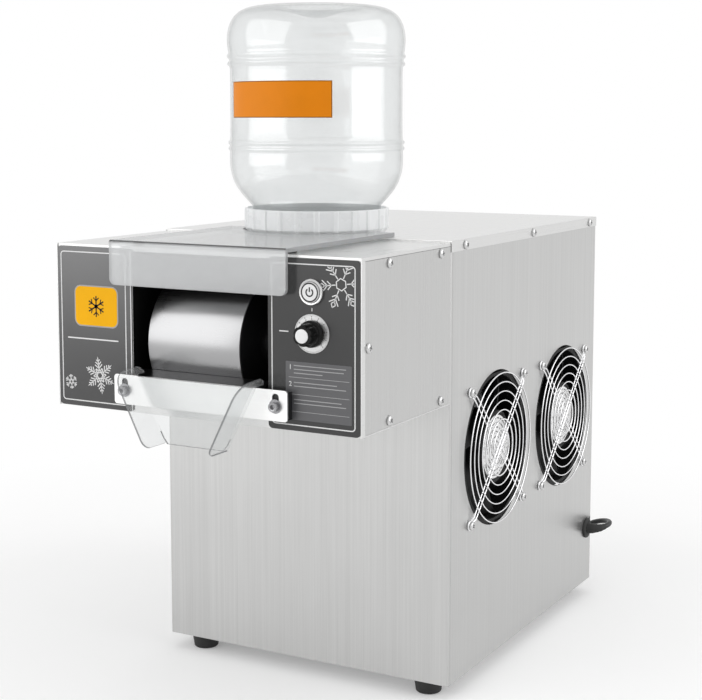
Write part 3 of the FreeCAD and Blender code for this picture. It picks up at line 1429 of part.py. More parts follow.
def make_cord():
    """Gland in the right panel, the cord to the worktop, its coil and the plug."""
    body = new_body("cord_gland")
    back = -size.sheet_steel
    profile = draw_outline(new_sketch(body, "XY_Plane"), [
        (-4, 0), (-4, gland_neck + 2.5), (back, gland_neck + 2.5), (back, gland_neck), (0, gland_neck),
        (0, gland_neck + 3.5), (1.4, gland_neck + 3.5), (2.2, gland_neck + 2.6), (gland_stand, 6), (gland_stand, 0)])
    revolve(body, profile, "H_Axis")
    place(body, half_width, gland_y, gland_z)
    node(body, "cord_gland")

    radii = []
    tubes = []
    for route in (CORD_ROUTE, TAIL_ROUTE):
        path = rounded_path([at(x, y, z) for x, y, z in route], radii)
        tubes.append(tube_along(path, float(size.cord_radius)))
        print("cord run %.1f mm long" % path.Length)
    print("cord radii, mm:", " ".join("%.0f" % radius for radius in radii))
    node(feature_of("power_cord", Part.makeCompound(tubes)), "power_cord")

    body = new_body("cord_coil")
    high = 4 * size.cord_radius
    profile = draw_outline(new_sketch(body, "XZ_Plane"), [
        (coil_inner, 1.5), (coil_inner + 1.5, 0), (coil_outer - 1.5, 0), (coil_outer, 1.5),
        (coil_outer, high - 1.5), (coil_outer - 1.5, high), (coil_inner + 1.5, high), (coil_inner, high - 1.5)])
    revolve(body, profile, "V_Axis")
    place(body, coil_x, coil_y, 0)
    node(body, "cord_coil")

    middle = 3 * size.cord_radius
    relief = doc.addObject("Part::Cone", "plug_relief")
    bind(relief, "Radius1", size.cord_radius + 1)
    bind(relief, "Radius2", size.cord_radius + 3.5)
    bind(relief, "Height", 20)
    relief.Placement = FreeCAD.Placement(FreeCAD.Vector(), FreeCAD.Rotation(AXIS_Z, -AXIS_X))
    place(relief, plug_x, plug_y, middle)
    block = box("plug_block", 34, 26, 2 * middle, plug_x - 54, plug_y - 13, 0)
    pins = [cylinder("plug_pin", 2, 21, plug_x - 53, plug_y + side * 9.5, middle, -AXIS_X) for side in (-1, 1)]
    node(fuse("power_plug", [relief, block] + pins), "power_plug")


# ---------------------------------------------------------------- build
def check_everything():
    """Stop if any object failed or any sub-part is not a valid shape."""
    doc.recompute()
    for item in doc.Objects:
        if "Invalid" in item.State or "Error" in item.State:
            raise RuntimeError("%s failed: %s" % (item.Name, item.State))
    for item in nodes:
        if item.Shape.isNull() or not item.Shape.isValid() or not item.Shape.Solids:
            raise RuntimeError("%s is not a valid solid" % item.Label)


def main():
    """Build every sub-part, check it and write one STEP file for each."""
    make_base_tray()
    make_feet()
    make_front_panel()
    make_side_panels()
    make_back_panel()
    make_lid()
    make_head_shell()
    make_head_plates()
    make_fascias()
    make_screws()
    make_drum_chamber()
    make_drum()
    make_drive()
    make_milk_feed()
    make_scraper()
    make_chute()
    make_cover()
    make_bottle()
    make_controls()
    make_fans()
    make_condenser()
    make_compressor()
    make_refrigerant_lines()
    make_control_board()
    make_cord()
    check_everything()
    os.makedirs("parts", exist_ok=True)
    for item in nodes:
        item.Shape.exportStep("parts/%s.step" % item.Label)
        print(item.Label, len(item.Shape.Solids), "solid(s), %.0f mm3" % item.Shape.Volume)


main()
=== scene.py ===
"""Countertop shaved ice machine: the visual model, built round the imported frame."""
import json
import logging
import math
from dataclasses import dataclass, field
from enum import Enum
from typing import Any, Callable, Iterable, Optional, Sequence, Union

import bmesh
import bpy
from mathutils import Matrix, Vector
from mathutils.bvhtree import BVHTree

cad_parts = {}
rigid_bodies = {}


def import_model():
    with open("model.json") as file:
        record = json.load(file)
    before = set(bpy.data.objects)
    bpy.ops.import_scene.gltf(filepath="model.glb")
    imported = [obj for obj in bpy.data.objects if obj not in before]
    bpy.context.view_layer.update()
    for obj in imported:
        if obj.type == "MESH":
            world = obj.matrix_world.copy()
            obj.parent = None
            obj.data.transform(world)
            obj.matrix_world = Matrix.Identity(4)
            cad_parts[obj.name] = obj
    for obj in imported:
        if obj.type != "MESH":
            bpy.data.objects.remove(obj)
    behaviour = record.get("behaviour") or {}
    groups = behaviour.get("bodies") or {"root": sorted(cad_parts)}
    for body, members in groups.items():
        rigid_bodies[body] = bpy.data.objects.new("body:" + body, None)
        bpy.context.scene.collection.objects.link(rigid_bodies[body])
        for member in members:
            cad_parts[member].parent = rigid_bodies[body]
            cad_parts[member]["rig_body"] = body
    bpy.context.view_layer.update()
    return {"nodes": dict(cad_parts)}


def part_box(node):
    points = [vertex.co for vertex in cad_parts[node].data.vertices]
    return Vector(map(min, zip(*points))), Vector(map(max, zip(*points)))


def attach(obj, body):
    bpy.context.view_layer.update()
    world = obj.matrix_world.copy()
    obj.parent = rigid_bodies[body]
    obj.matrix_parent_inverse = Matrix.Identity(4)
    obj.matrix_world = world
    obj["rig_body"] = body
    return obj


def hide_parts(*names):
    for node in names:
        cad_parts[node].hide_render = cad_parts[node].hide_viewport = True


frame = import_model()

MM = 0.001
WELD = 2e-6
log = logging.getLogger("shaved_ice")

Mesh = bpy.types.Mesh
Object = bpy.types.Object
Socket = bpy.types.NodeSocket
BMesh = bmesh.types.BMesh
Point = tuple[float, float, float]
Flat = tuple[float, float]
Loop = list[Flat]
Colour = tuple[float, float, float]
Input = Union["Val", Socket, float, tuple, list]
Inputs = dict[Union[str, int], Any]


class Facing(Enum):
    """Which way local +Z looks once a drawing or a turned shape is placed."""

    FRONT = Matrix.Rotation(math.pi / 2, 4, "X")
    RIGHT = Matrix.Rotation(math.pi / 2, 4, "Z") @ Matrix.Rotation(math.pi / 2, 4, "X")

    def at(self, centre: Sequence[float]) -> Matrix:
        """The matrix that turns local +Z this way and moves the origin to a point."""
        return Matrix.Translation(Vector(centre)) @ self.value


class Grain(Enum):
    """Direction of the grain in a sheet of steel."""

    UPRIGHT = (1.0, 1.0, 0.004)
    ALONG = (1.0, 0.004, 1.0)
    ACROSS = (0.004, 1.0, 1.0)


def add_node(tree: bpy.types.NodeTree, kind: str, inputs: Inputs, settings: dict[str, Any]) -> bpy.types.Node:
    """Add a node to any tree: its settings first, then its sockets.

    Args:
        tree: The tree.
        kind: The node's type name.
        inputs: Values or links, by socket name or number; a list makes several links.
        settings: Properties to set.

    Returns:
        The new node.
    """
    made = tree.nodes.new(kind)
    for key, value in settings.items():
        setattr(made, key, value)
    for key, values in inputs.items():
        socket = made.inputs[key]
        for value in values if isinstance(values, list) else [values]:
            value = value.socket if isinstance(value, Val) else value
            if isinstance(value, Socket):
                tree.links.new(value, socket)
            else:
                flat_colour = isinstance(value, tuple) and socket.type == "RGBA"
                socket.default_value = (*value, 1.0) if flat_colour else value
    return made


# ------------------------------------------------------------------ shader maths
def operator(operation: str) -> Callable[["Val", Input], "Val"]:
    """A Python operator that adds one Math node."""
    return lambda value, other: value.maths(operation, other)


class Val:
    """A shader socket that takes part in Python arithmetic."""

    def __init__(self, shader: "Shader", socket: Socket) -> None:
        """Keep the shader that owns the socket beside it."""
        self.shader = shader
        self.socket = socket

    def maths(self, operation: str, *others: Input) -> "Val":
        """Join this value and others by one Math node."""
        return self.shader.value("ShaderNodeMath", dict(enumerate((self, *others))), operation=operation)

    __add__ = __radd__ = operator("ADD")
    __sub__ = operator("SUBTRACT")
    __mul__ = __rmul__ = operator("MULTIPLY")
    __truediv__ = operator("DIVIDE")
    __pow__ = operator("POWER")
    __gt__ = operator("GREATER_THAN")
    most = operator("MAXIMUM")
    least = operator("MINIMUM")

    def __rsub__(self, other: Input) -> "Val":
        """Difference with a number on the left."""
        return self * -1.0 + other

    def clamp(self, low: float = 0.0, high: float = 1.0) -> "Val":
        """Keep the value between two numbers."""
        return self.most(low).least(high)


class Shader:
    """A material's node tree, built by expressions."""

    def __init__(self, name: str, world: Optional[bpy.types.World] = None) -> None:
        """Start an empty material, or empty a world's own tree."""
        self.material = world or bpy.data.materials.new(name)
        self.material.use_nodes = True
        self.tree = self.material.node_tree
        self.tree.nodes.clear()

    def value(self, kind: str, inputs: Optional[Inputs] = None, output: Union[int, str] = 0,
              **settings: Any) -> Val:
        """Add a node and hand over one of its outputs."""
        return Val(self, add_node(self.tree, kind, inputs or {}, settings).outputs[output])

    def place(self) -> Val:
        """The piece's own coordinates, in metres."""
        return self.value("ShaderNodeTexCoord", output="Object")

    def stretch(self, vector: Val, scale: Point, move: Point = (0.0, 0.0, 0.0)) -> Val:
        """Scale a vector and then move it."""
        return self.value("ShaderNodeVectorMath", {0: vector, 1: scale, 2: move}, operation="MULTIPLY_ADD")

    def parts(self, vector: Val) -> list[Val]:
        """The three coordinates of a vector."""
        return [self.value("ShaderNodeSeparateXYZ", {0: vector}, axis) for axis in range(3)]

    def noise(self, vector: Val, scale: float, detail: float = 3.0, roughness: float = 0.5) -> Val:
        """Smooth noise about nought, between -0.5 and 0.5."""
        inputs = {"Vector": vector, "Scale": scale, "Detail": detail, "Roughness": roughness}
        return self.value("ShaderNodeTexNoise", inputs) - 0.5

    def blend(self, factor: Val, first: Input, second: Input) -> Val:
        """Mix two colours."""
        return self.value("ShaderNodeMix", {0: factor, 6: first, 7: second}, 2, data_type="RGBA")

    def shade(self, colour: Colour, factor: Val) -> Val:
        """A colour made darker or lighter by a factor."""
        return self.value("ShaderNodeVectorMath", {0: colour, "Scale": factor}, operation="SCALE")

    def bump(self, height: Val, strength: float, distance: float = 0.0001) -> Val:
        """A normal tilted by a height pattern."""
        return self.value("ShaderNodeBump", {"Strength": strength, "Distance": distance, "Height": height})

    def slant(self, blend: float) -> Val:
        """How far a surface turns away from the view."""
        return self.value("ShaderNodeLayerWeight", {"Blend": blend}, "Facing")

    def mix(self, factor: Input, first: Val, second: Val) -> Val:
        """Mix two surfaces."""
        return self.value("ShaderNodeMixShader", {0: factor, 1: first, 2: second})

    def emit(self, strength: float) -> Val:
        """White light of its own."""
        return self.value("ShaderNodeEmission", {"Color": (1.0, 1.0, 1.0), "Strength": strength})

    def ray(self, *kinds: str) -> Val:
        """One for rays of the named kinds, or else nought."""
        first, *others = [self.value("ShaderNodeLightPath", output=f"Is {kind} Ray") for kind in kinds]
        for other in others:
            first = first.most(other)
        return first

    def principled(self, colour: Input, rough: Input, normal: Optional[Val] = None, metallic: float = 0.0,
                   glint: float = 0.5) -> Val:
        """The main surface shader."""
        inputs = {"Base Color": colour, "Roughness": rough, "Metallic": metallic, "Specular IOR Level": glint}
        return self.value("ShaderNodeBsdfPrincipled", inputs | ({"Normal": normal} if normal else {}))

    def close(self, surface: Val) -> bpy.types.Material:
        """Join the surface to the output and hand over the material."""
        add_node(self.tree, "ShaderNodeOutputMaterial", {"Surface": surface}, {})
        return self.material


# ------------------------------------------------------------------ finishes
MADE: dict[str, bpy.types.Material] = {}


def grey(level: float) -> Colour:
    """A neutral colour."""
    return (level, level, level)


@dataclass(frozen=True)
class Finish:
    """A named surface finish; each is built once."""

    name: str

    def surface(self, shader: Shader) -> Val:
        """Build the surface; each finish has its own."""
        raise NotImplementedError

    def material(self) -> bpy.types.Material:
        """The finish's material, built the first time it is asked for."""
        if self.name not in MADE:
            shader = Shader(self.name)
            MADE[self.name] = shader.close(self.surface(shader))
        return MADE[self.name]


@dataclass(frozen=True)
class BrushedSheet(Finish):
    """Stainless sheet with a fine grain, broad soft streaks and faint wipe marks."""

    tone: Colour = grey(0.62)
    grain: Grain = Grain.UPRIGHT
    rough: float = 0.34
    contrast: float = 0.16
    streak_size: float = 2200.0
    broad_size: float = 420.0

    def surface(self, shader: Shader) -> Val:
        """Grain drives tone, roughness and a slight bump."""
        place = shader.place()
        along = shader.stretch(place, self.grain.value)
        fine = shader.noise(along, self.streak_size, 2.0, 0.6)
        broad = shader.noise(along, self.broad_size, 3.0, 0.55)
        wipe = shader.noise(place, 9.0, 2.0)
        level = 1.0 + fine * self.contrast + broad * (self.contrast * 0.8) + wipe * 0.05
        rough = (self.rough + fine * 0.16 + wipe * 0.08).clamp(0.08, 0.9)
        return shader.principled(shader.shade(self.tone, level), rough, shader.bump(fine, 0.12, 0.00015), 1.0)


@dataclass(frozen=True)
class PolishedMetal(Finish):
    """Polished or plated metal with faint hairlines and smudges."""

    tone: Colour = (0.85, 0.85, 0.86)
    rough: float = 0.12
    smear: float = 0.08

    def surface(self, shader: Shader) -> Val:
        """Hairlines and smudges move the roughness a little."""
        place = shader.place()
        lines = shader.noise(shader.stretch(place, Grain.ACROSS.value), 3000.0, 2.0)
        smudge = shader.noise(place, 35.0)
        rough = (self.rough + lines * (self.smear * 0.75) + smudge * self.smear).clamp(0.03, 0.9)
        return shader.principled(shader.shade(self.tone, 1.0 + smudge * 0.06), rough,
                                 shader.bump(lines, 0.06), 1.0)


@dataclass(frozen=True)
class MouldedPlastic(Finish):
    """Moulded plastic, rubber or paint with a fine pebble and slight wear of tone."""

    tone: Colour = grey(0.02)
    rough: float = 0.5
    pebble: float = 0.25
    size: float = 1400.0
    glint: float = 0.5

    def surface(self, shader: Shader) -> Val:
        """A pebble bump with soft changes of tone and gloss."""
        place = shader.place()
        grain = shader.noise(place, self.size, 2.0)
        cloud = shader.noise(place, 30.0)
        rough = (self.rough + cloud * 0.12 + grain * 0.06).clamp(0.05)
        return shader.principled(shader.shade(self.tone, 1.0 + cloud * 0.18), rough,
                                 shader.bump(grain, self.pebble), glint=self.glint)


@dataclass(frozen=True)
class PrintedPanel(Finish):
    """Dark glossy printed film whose tone changes from its upper to its lower edge."""

    top_tone: float = 0.2
    low_tone: float = 0.1
    low: float = 0.29
    high: float = 0.435
    rough: float = 0.22

    def surface(self, shader: Shader) -> Val:
        """A gradient down the panel and fine print grain."""
        place = shader.place()
        height = ((shader.parts(place)[2] - self.low) / (self.high - self.low)).clamp()
        dots = shader.noise(place, 2600.0, 1.0)
        cloud = shader.noise(place, 18.0, 2.0)
        level = self.low_tone + height ** 1.6 * (self.top_tone - self.low_tone)
        level = level * (1.0 + dots * 0.16 + cloud * 0.14)
        return shader.principled(shader.shade((1.0, 1.0, 1.01), level), self.rough + cloud * 0.08,
                                 shader.bump(dots, 0.04))


@dataclass(frozen=True)
class ClearSheet(Finish):
    """Clear plastic: a slight milky haze, a glossy skin, painted grey shade at a glancing view and, where a
    crease is given, painted dark shade along the bend.
    """

    haze: float = 0.3
    glance: float = 0.4
    tone: Colour = (0.93, 0.94, 0.95)
    # tone of the painted grey shade laid where the sheet is seen at a glancing angle
    rim_tone: Colour = (0.42, 0.43, 0.44)
    skin: float = 0.6
    glow: float = 0.04
    rough: float = 0.08
    scratch: float = 0.06
    # crease and crease_reach: a bend line (depth, height) and the width of the painted dark shade laid along
    # it
    crease: Optional[Flat] = None
    crease_reach: float = 0.003

    def surface(self, shader: Shader) -> Val:
        """Mix see-through with a pale film, then lay a glossy skin over both."""
        place = shader.place()
        smear = shader.noise(place, 24.0, 4.0, 0.6)
        lines = shader.noise(shader.stretch(place, (1.0, 1.0, 0.02)), 1500.0, 2.0)
        edge = shader.slant(0.35)
        # painted grey shade towards the outline, where the sheet is seen at a glancing angle; glance lets
        # more of it show
        colour = shader.blend((edge ** 8.0).clamp(), shader.shade(self.tone, 1.0 + smear * 0.05),
                              self.rim_tone)
        cover = (self.haze + edge ** 6.0 * self.glance + smear * 0.04).clamp()
        # painted shade: a dark band along the bend, where the bent clear sheet looks dark
        if self.crease is not None:
            _, depth, height = shader.parts(place)
            away = (depth - self.crease[0]) ** 2.0 + (height - self.crease[1]) ** 2.0
            bend_shade = (2.0 - away ** 0.5 / (self.crease_reach / 2)).clamp()
            colour = shader.blend(bend_shade, colour, grey(0.06))
            cover = cover.most(bend_shade * 0.8)
        normal = shader.bump(lines, self.scratch)
        film = shader.principled(colour, 0.5, normal, glint=0.0)
        clear = shader.value("ShaderNodeBsdfTransparent", {"Color": (0.985, 0.99, 0.99)})
        rough = (self.rough + smear * 0.05).clamp(0.02, 0.6)
        gloss = shader.value("ShaderNodeBsdfAnisotropic", {"Roughness": rough, "Normal": normal})
        shine = (shader.slant(0.5) ** 5.0 * self.skin + self.glow).clamp()
        return shader.mix(shine, shader.mix(cover, clear, film), gloss)


@dataclass(frozen=True)
class MilkyMoulding(Finish):
    """Thick translucent white moulding."""

    tone: Colour = (0.94, 0.95, 0.955)
    cover: float = 0.86
    glow: float = 0.12

    def surface(self, shader: Shader) -> Val:
        """Pale body with some light let through."""
        place = shader.place()
        cloud = shader.noise(place, 40.0)
        body = shader.principled(shader.shade(self.tone, 1.0 + cloud * 0.05), 0.28 + cloud * 0.08,
                                 shader.bump(shader.noise(place, 900.0, 2.0), 0.06))
        through = shader.value("ShaderNodeBsdfTranslucent", {"Color": self.tone})
        cover = (self.cover + shader.slant(0.3) * 0.12 + cloud * 0.06).clamp()
        return shader.mix(cover, shader.value("ShaderNodeBsdfTransparent"),
                          shader.mix(self.glow, body, through))


@dataclass(frozen=True)
class RingedLabel(Finish):
    """Silver hub sticker with plain turned rings."""

    centre: Point = (0.0, 0.0, 0.0)
    pitch: float = 0.0046

    def surface(self, shader: Shader) -> Val:
        """Rings round the hub's middle, broken into dashes by noise."""
        place = shader.stretch(shader.place(), (1.0, 1.0, 1.0), tuple(-value for value in self.centre))
        _, across, height = shader.parts(place)
        radius = (across * across + height * height) ** 0.5
        rings = (radius * (math.tau / self.pitch)).maths("SINE") * 0.5 + 0.5
        ink = (rings > 0.78) * (shader.noise(shader.place(), 420.0, 2.0) > -0.03)
        return shader.principled(shader.blend(ink, grey(0.88), grey(0.12)), 0.35 + ink * 0.2)


@dataclass(frozen=True)
class FinPack(Finish):
    """Pressed aluminium fins: close upright lines, the fins' edges lighter and painted shade in the gaps
    between them.
    """

    pitch: float = 0.0022

    def surface(self, shader: Shader) -> Val:
        """Fine fins by a sine of the depth coordinate; its low part is painted shade between the fins."""
        place = shader.place()
        fins = (shader.parts(place)[1] * (math.tau / self.pitch)).maths("SINE") * 0.5 + 0.5
        dust = shader.noise(place, 60.0)
        # painted shade: darker lines in the gaps between fins
        colour = shader.shade((0.72, 0.73, 0.74), 0.35 + fins * 0.5 + dust * 0.2)
        return shader.principled(colour, 0.45 + dust * 0.2, shader.bump(fins, 0.6, 0.0006), 0.9)


@dataclass(frozen=True)
class CircuitBoard(Finish):
    """Green board with pale tracks."""

    def surface(self, shader: Shader) -> Val:
        """Tracks from a stepped noise."""
        tracks = shader.noise(shader.stretch(shader.place(), (1.0, 1.0, 0.25)), 240.0, 0.0) > 0.06
        return shader.principled(shader.blend(tracks, (0.02, 0.12, 0.05), (0.10, 0.34, 0.16)),
                                 0.35 + tracks * 0.15)


@dataclass(frozen=True)
class StickerFilm(Finish):
    """Printed sticker with a thin darker edge, bent round a bottle."""

    low: float = 0.0
    high: float = 1.0
    axis: Flat = (0.0, 0.0)
    half_angle: float = 0.7
    tone: Colour = (0.80, 0.24, 0.004)
    edge_tone: Colour = (0.30, 0.11, 0.01)
    side_edge: float = 0.012
    level_edge: float = 0.9 * MM

    def surface(self, shader: Shader) -> Val:
        """Darker within a millimetre of the sticker's edges."""
        place = shader.place()
        across, depth, height = shader.parts(place)
        side = (across - self.axis[0]).maths("ARCTAN2", self.axis[1] - depth).maths("ABSOLUTE")
        rise = (height - (self.low + self.high) / 2).maths("ABSOLUTE")
        level = (self.high - self.low) / 2 - self.level_edge
        rim = (side > self.half_angle - self.side_edge).most(rise > level)
        cloud = shader.noise(place, 60.0)
        warm = shader.shade(self.tone, 1.0 + cloud * 0.12)
        return shader.principled(shader.blend(rim, warm, self.edge_tone), 0.4 + cloud * 0.1, glint=0.15)


CABINET_STEEL = BrushedSheet("cabinet_brushed_steel", (0.555, 0.555, 0.55), contrast=0.24)
HEAD_STEEL = BrushedSheet("head_side_brushed_steel", (0.55, 0.55, 0.545), contrast=0.12, rough=0.3)
LID_STEEL = BrushedSheet("lid_satin_steel", (0.70, 0.70, 0.695), Grain.ALONG, 0.3, 0.06)
TRAY_STEEL = BrushedSheet("tray_steel", grey(0.45), Grain.ACROSS)
BAR_STEEL = BrushedSheet("scraper_bright_steel", (0.86, 0.86, 0.855), Grain.ACROSS, 0.36, 0.05)
BLADE_STEEL = BrushedSheet("blade_ground_steel", (0.11, 0.11, 0.112), Grain.ACROSS, 0.32)
DIAL_SILVER = BrushedSheet("dial_silver", grey(0.54), Grain.ACROSS, 0.3, 0.25)
DRUM_MIRROR = PolishedMetal("drum_polished_steel", (0.39, 0.39, 0.395), 0.28, 0.03)
SCREW_STEEL = PolishedMetal("screw_nickel", grey(0.62), 0.22)
CAP_SCREW_STEEL = PolishedMetal("cap_screw_steel", (0.34, 0.34, 0.35), 0.25)
WIRE_CHROME = PolishedMetal("guard_chrome_wire", (0.90, 0.90, 0.91), 0.1)
SHAFT_STEEL = PolishedMetal("shaft_turned_steel", grey(0.70), 0.25)
COPPER = PolishedMetal("copper_tube", (0.78, 0.40, 0.24), 0.3)
BLACK_MOULDING = MouldedPlastic("black_moulding", (0.012, 0.012, 0.013), 0.42)
CHAMBER_BLACK = MouldedPlastic("chamber_black", grey(0.005), pebble=0.15, glint=0.2)
FAN_BLACK = MouldedPlastic("fan_black", grey(0.005), pebble=0.1, glint=0.15)
KNOB_BLACK = MouldedPlastic("knob_black", grey(0.005), 0.28, 0.08, glint=0.18)
BLACK_RUBBER = MouldedPlastic("black_rubber", grey(0.016), 0.62, 0.3)
CORD_JACKET = MouldedPlastic("cord_jacket", (0.015, 0.015, 0.016), 0.36, 0.1)
WHITE_MOULDING = MouldedPlastic("white_moulding", grey(0.86), 0.3, 0.05)
GEAR_NYLON = MouldedPlastic("gear_nylon", (0.76, 0.74, 0.66), 0.4, 0.05)
MOTOR_GREY = MouldedPlastic("motor_grey_paint", (0.18, 0.19, 0.20), 0.4, 0.3, 700.0)
CAN_BLACK = MouldedPlastic("compressor_black_paint", (0.02, 0.02, 0.021), 0.32, 0.35, 500.0)
PRINT_WHITE = MouldedPlastic("printed_white", grey(0.80), 0.4, 0.02)
PRINT_GREY = MouldedPlastic("printed_grey", (0.105, 0.105, 0.11), 0.4, 0.02)
PRINT_PALE = MouldedPlastic("printed_pale_grey", (0.38, 0.38, 0.385), 0.4, 0.02)
PRINT_DARK = MouldedPlastic("printed_dark", grey(0.008), pebble=0.02, glint=0.2)
PRINT_YELLOW = MouldedPlastic("printed_yellow", (0.95, 0.47, 0.0), 0.45, 0.03, glint=0.15)
SILICONE = MilkyMoulding("silicone_tube", (0.80, 0.80, 0.78), cover=0.7)
CAP_MILKY = MilkyMoulding("bottle_cap_milky")
CHUTE_CLEAR = ClearSheet("chute_clear_sheet", 0.13, 0.25, (0.80, 0.805, 0.81), skin=0.3, glow=0.02)
# painted shade on the narrow edge faces of the clear sheets: a grey film where those edges look dark; on the
# chute its haze is also the sawn edge's frosting
EDGE_CLEAR = ClearSheet("sheet_sawn_edge", 0.8, 0.1, (0.20, 0.205, 0.21), skin=0.2, rough=0.3)
COVER_EDGE = ClearSheet("cover_edge_painted_shade", 0.7, 0.1, (0.38, 0.385, 0.39), skin=0.2)
BOTTLE_CLEAR = ClearSheet("bottle_clear_plastic", 0.06, 0.5, (0.60, 0.61, 0.62), (0.40, 0.41, 0.42),
                          glow=0.075, rough=0.12, scratch=0.02)
LEFT_PRINT = PrintedPanel("left_fascia_film", 0.185, 0.065)
RIGHT_PRINT = PrintedPanel("right_fascia_film", 0.030, 0.036)


# ------------------------------------------------------------------ mesh tools
def box_of(node: str) -> tuple[Vector, Vector]:
    """Lowest and highest corners of a CAD node, in metres."""
    low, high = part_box(node)
    return Vector(low), Vector(high)


def face_of(node: str) -> tuple[Vector, float, float]:
    """Middle of a CAD node's front, half its width, and its depth."""
    low, high = box_of(node)
    return Vector(((low.x + high.x) / 2, low.y, (low.z + high.z) / 2)), (high.x - low.x) / 2, high.y - low.y


def new_object(name: str, data: Any) -> Object:
    """A new object in the scene."""
    made = bpy.data.objects.new(name, data)
    bpy.context.scene.collection.objects.link(made)
    return made


def smooth(mesh: Mesh) -> None:
    """Shade every face smooth."""
    mesh.polygons.foreach_set("use_smooth", [True] * len(mesh.polygons))


def add_piece(name: str, mesh: Mesh, finish: Optional[Finish], body: str,
              replaces: Sequence[str] = (), angle: Optional[float] = 38.0) -> Object:
    """Add a finished mesh as a piece that rides on a body.

    Args:
        name: The piece's name.
        mesh: Its mesh, already in place.
        finish: Its finish, or None where the mesh has its materials.
        body: The body that carries it.
        replaces: CAD nodes that it stands for.
        angle: The largest smooth bend in degrees, or None to keep the shading.

    Returns:
        The new object.
    """
    mesh.name = name
    if finish is not None:
        mesh.materials.clear()
        mesh.materials.append(finish.material())
    if angle is not None:
        smooth(mesh)
        mesh.set_sharp_from_angle(angle=math.radians(angle))
    piece = new_object(name, mesh)
    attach(piece, body)
    if replaces:
        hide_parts(*replaces)
    return piece


def to_mesh(bm: BMesh, matrix: Optional[Matrix] = None) -> Mesh:
    """Turn a bmesh into a mesh with its faces outward, and move it into place."""
    if matrix is not None:
        bmesh.ops.transform(bm, matrix=matrix, verts=bm.verts)
    bmesh.ops.recalc_face_normals(bm, faces=bm.faces)
    mesh = bpy.data.meshes.new("made")
    bm.to_mesh(mesh)
    bm.free()
    return mesh


def welded(mesh: Mesh, distance: float = WELD) -> BMesh:
    """A mesh as a bmesh whose doubled corners are joined."""
    bm = bmesh.new()
    bm.from_mesh(mesh)
    bmesh.ops.remove_doubles(bm, verts=bm.verts, dist=distance)
    return bm


def point_mesh(points: Iterable[Sequence[float]], edges: Sequence[tuple[int, int]] = ()) -> Mesh:
    """A mesh of bare points and lines."""
    mesh = bpy.data.meshes.new("points")
    mesh.from_pydata([tuple(point) for point in points], list(edges), [])
    return mesh


def turned(profile: Sequence[Flat], segments: int = 96,
           wave: Optional[Callable[[float, float, float], float]] = None) -> BMesh:
    """Turn a closed or pole-to-pole profile round local Z.

    Args:
        profile: Points as (radius, height); a radius of nought makes a pole.
        segments: Steps round the axis.
        wave: Changes a radius, given (radius, height, angle).

    Returns:
        The turned shape.
    """
    bm = bmesh.new()
    rings: list[list[bmesh.types.BMVert]] = []
    for radius, height in profile:
        if radius < 1e-7:
            rings.append([bm.verts.new((0.0, 0.0, height))])
            continue
        ring = []
        for step in range(segments):
            angle = math.tau * step / segments
            reach = wave(radius, height, angle) if wave else radius
            ring.append(bm.verts.new((reach * math.cos(angle), reach * math.sin(angle), height)))
        rings.append(ring)
    closed = len(rings[0]) > 1 and len(rings[-1]) > 1
    pairs = list(zip(rings, rings[1:])) + ([(rings[-1], rings[0])] if closed else [])
    for first, second in pairs:
        for step in range(segments):
            after = (step + 1) % segments
            corners = [first[step % len(first)], first[after % len(first)],
                       second[after % len(second)], second[step % len(second)]]
            corners = list(dict.fromkeys(corners))
            if len(corners) > 2:
                bm.faces.new(corners)
    return bm


def add_turned(name: str, section: Sequence[Flat], segments: int, place: Matrix, finish: Finish, body: str,
               replaces: Sequence[str] = (), angle: float = 30.0,
               wave: Optional[Callable[[float, float, float], float]] = None) -> Object:
    """Turn a section, put it in place and add it; the arguments are those of turned and add_piece."""
    return add_piece(name, to_mesh(turned(section, segments, wave), place), finish, body, replaces,
                     angle)


def walled(outer: Sequence[Flat], wall: float) -> Loop:
    """Close an open profile by a second line, a wall's thickness inside it.

    Args:
        outer: Profile from the open rim to the pole, as (radius, height).
        wall: Wall thickness.

    Returns:
        The section from the outer pole round the rim to the inner pole.
    """
    inner: Loop = []
    for index, (radius, height) in enumerate(outer):
        before, after = outer[max(index - 1, 0)], outer[min(index + 1, len(outer) - 1)]
        run, rise = after[0] - before[0], after[1] - before[1]
        length = math.hypot(run, rise) or 1.0
        inner.append((max(radius - wall * rise / length, 0.0), height + wall * run / length))
    return [*reversed(outer), *inner[:-1], (0.0, inner[-1][1])]


def smooth_profile(points: Sequence[Flat], steps: int = 4) -> Loop:
    """Run a smooth line through profile points (Catmull-Rom).

    Args:
        points: The points the line goes through.
        steps: Parts made of each span.

    Returns:
        The finer profile.
    """
    fine: Loop = []
    for index in range(len(points) - 1):
        before = points[max(index - 1, 0)]
        first, second = points[index], points[index + 1]
        after = points[min(index + 2, len(points) - 1)]
        for step in range(steps):
            t = step / steps
            fine.append(tuple(
                0.5 * (2 * first[axis] + (second[axis] - before[axis]) * t
                       + (2 * before[axis] - 5 * first[axis] + 4 * second[axis] - after[axis]) * t * t
                       + (3 * first[axis] - before[axis] - 3 * second[axis] + after[axis]) * t ** 3)
                for axis in (0, 1)))
    fine.append(tuple(points[-1]))
    return [(max(radius, 0.0), height) for radius, height in fine]


def mesh_from(thing: Object) -> Mesh:
    """The evaluated shape of a helper object as a plain mesh; the helper is removed."""
    bpy.context.view_layer.update()
    graph = bpy.context.evaluated_depsgraph_get()
    mesh = bpy.data.meshes.new_from_object(thing.evaluated_get(graph), depsgraph=graph)
    bpy.data.objects.remove(thing)
    return mesh


def filled(curve: bpy.types.Curve, thickness: float) -> Mesh:
    """A flat curve's filled shape as a thin solid that stands on local nought."""
    curve.extrude = thickness / 2
    mesh = mesh_from(new_object("outline", curve))
    mesh.transform(Matrix.Translation((0.0, 0.0, thickness / 2)))
    return to_mesh(welded(mesh, 1e-7))


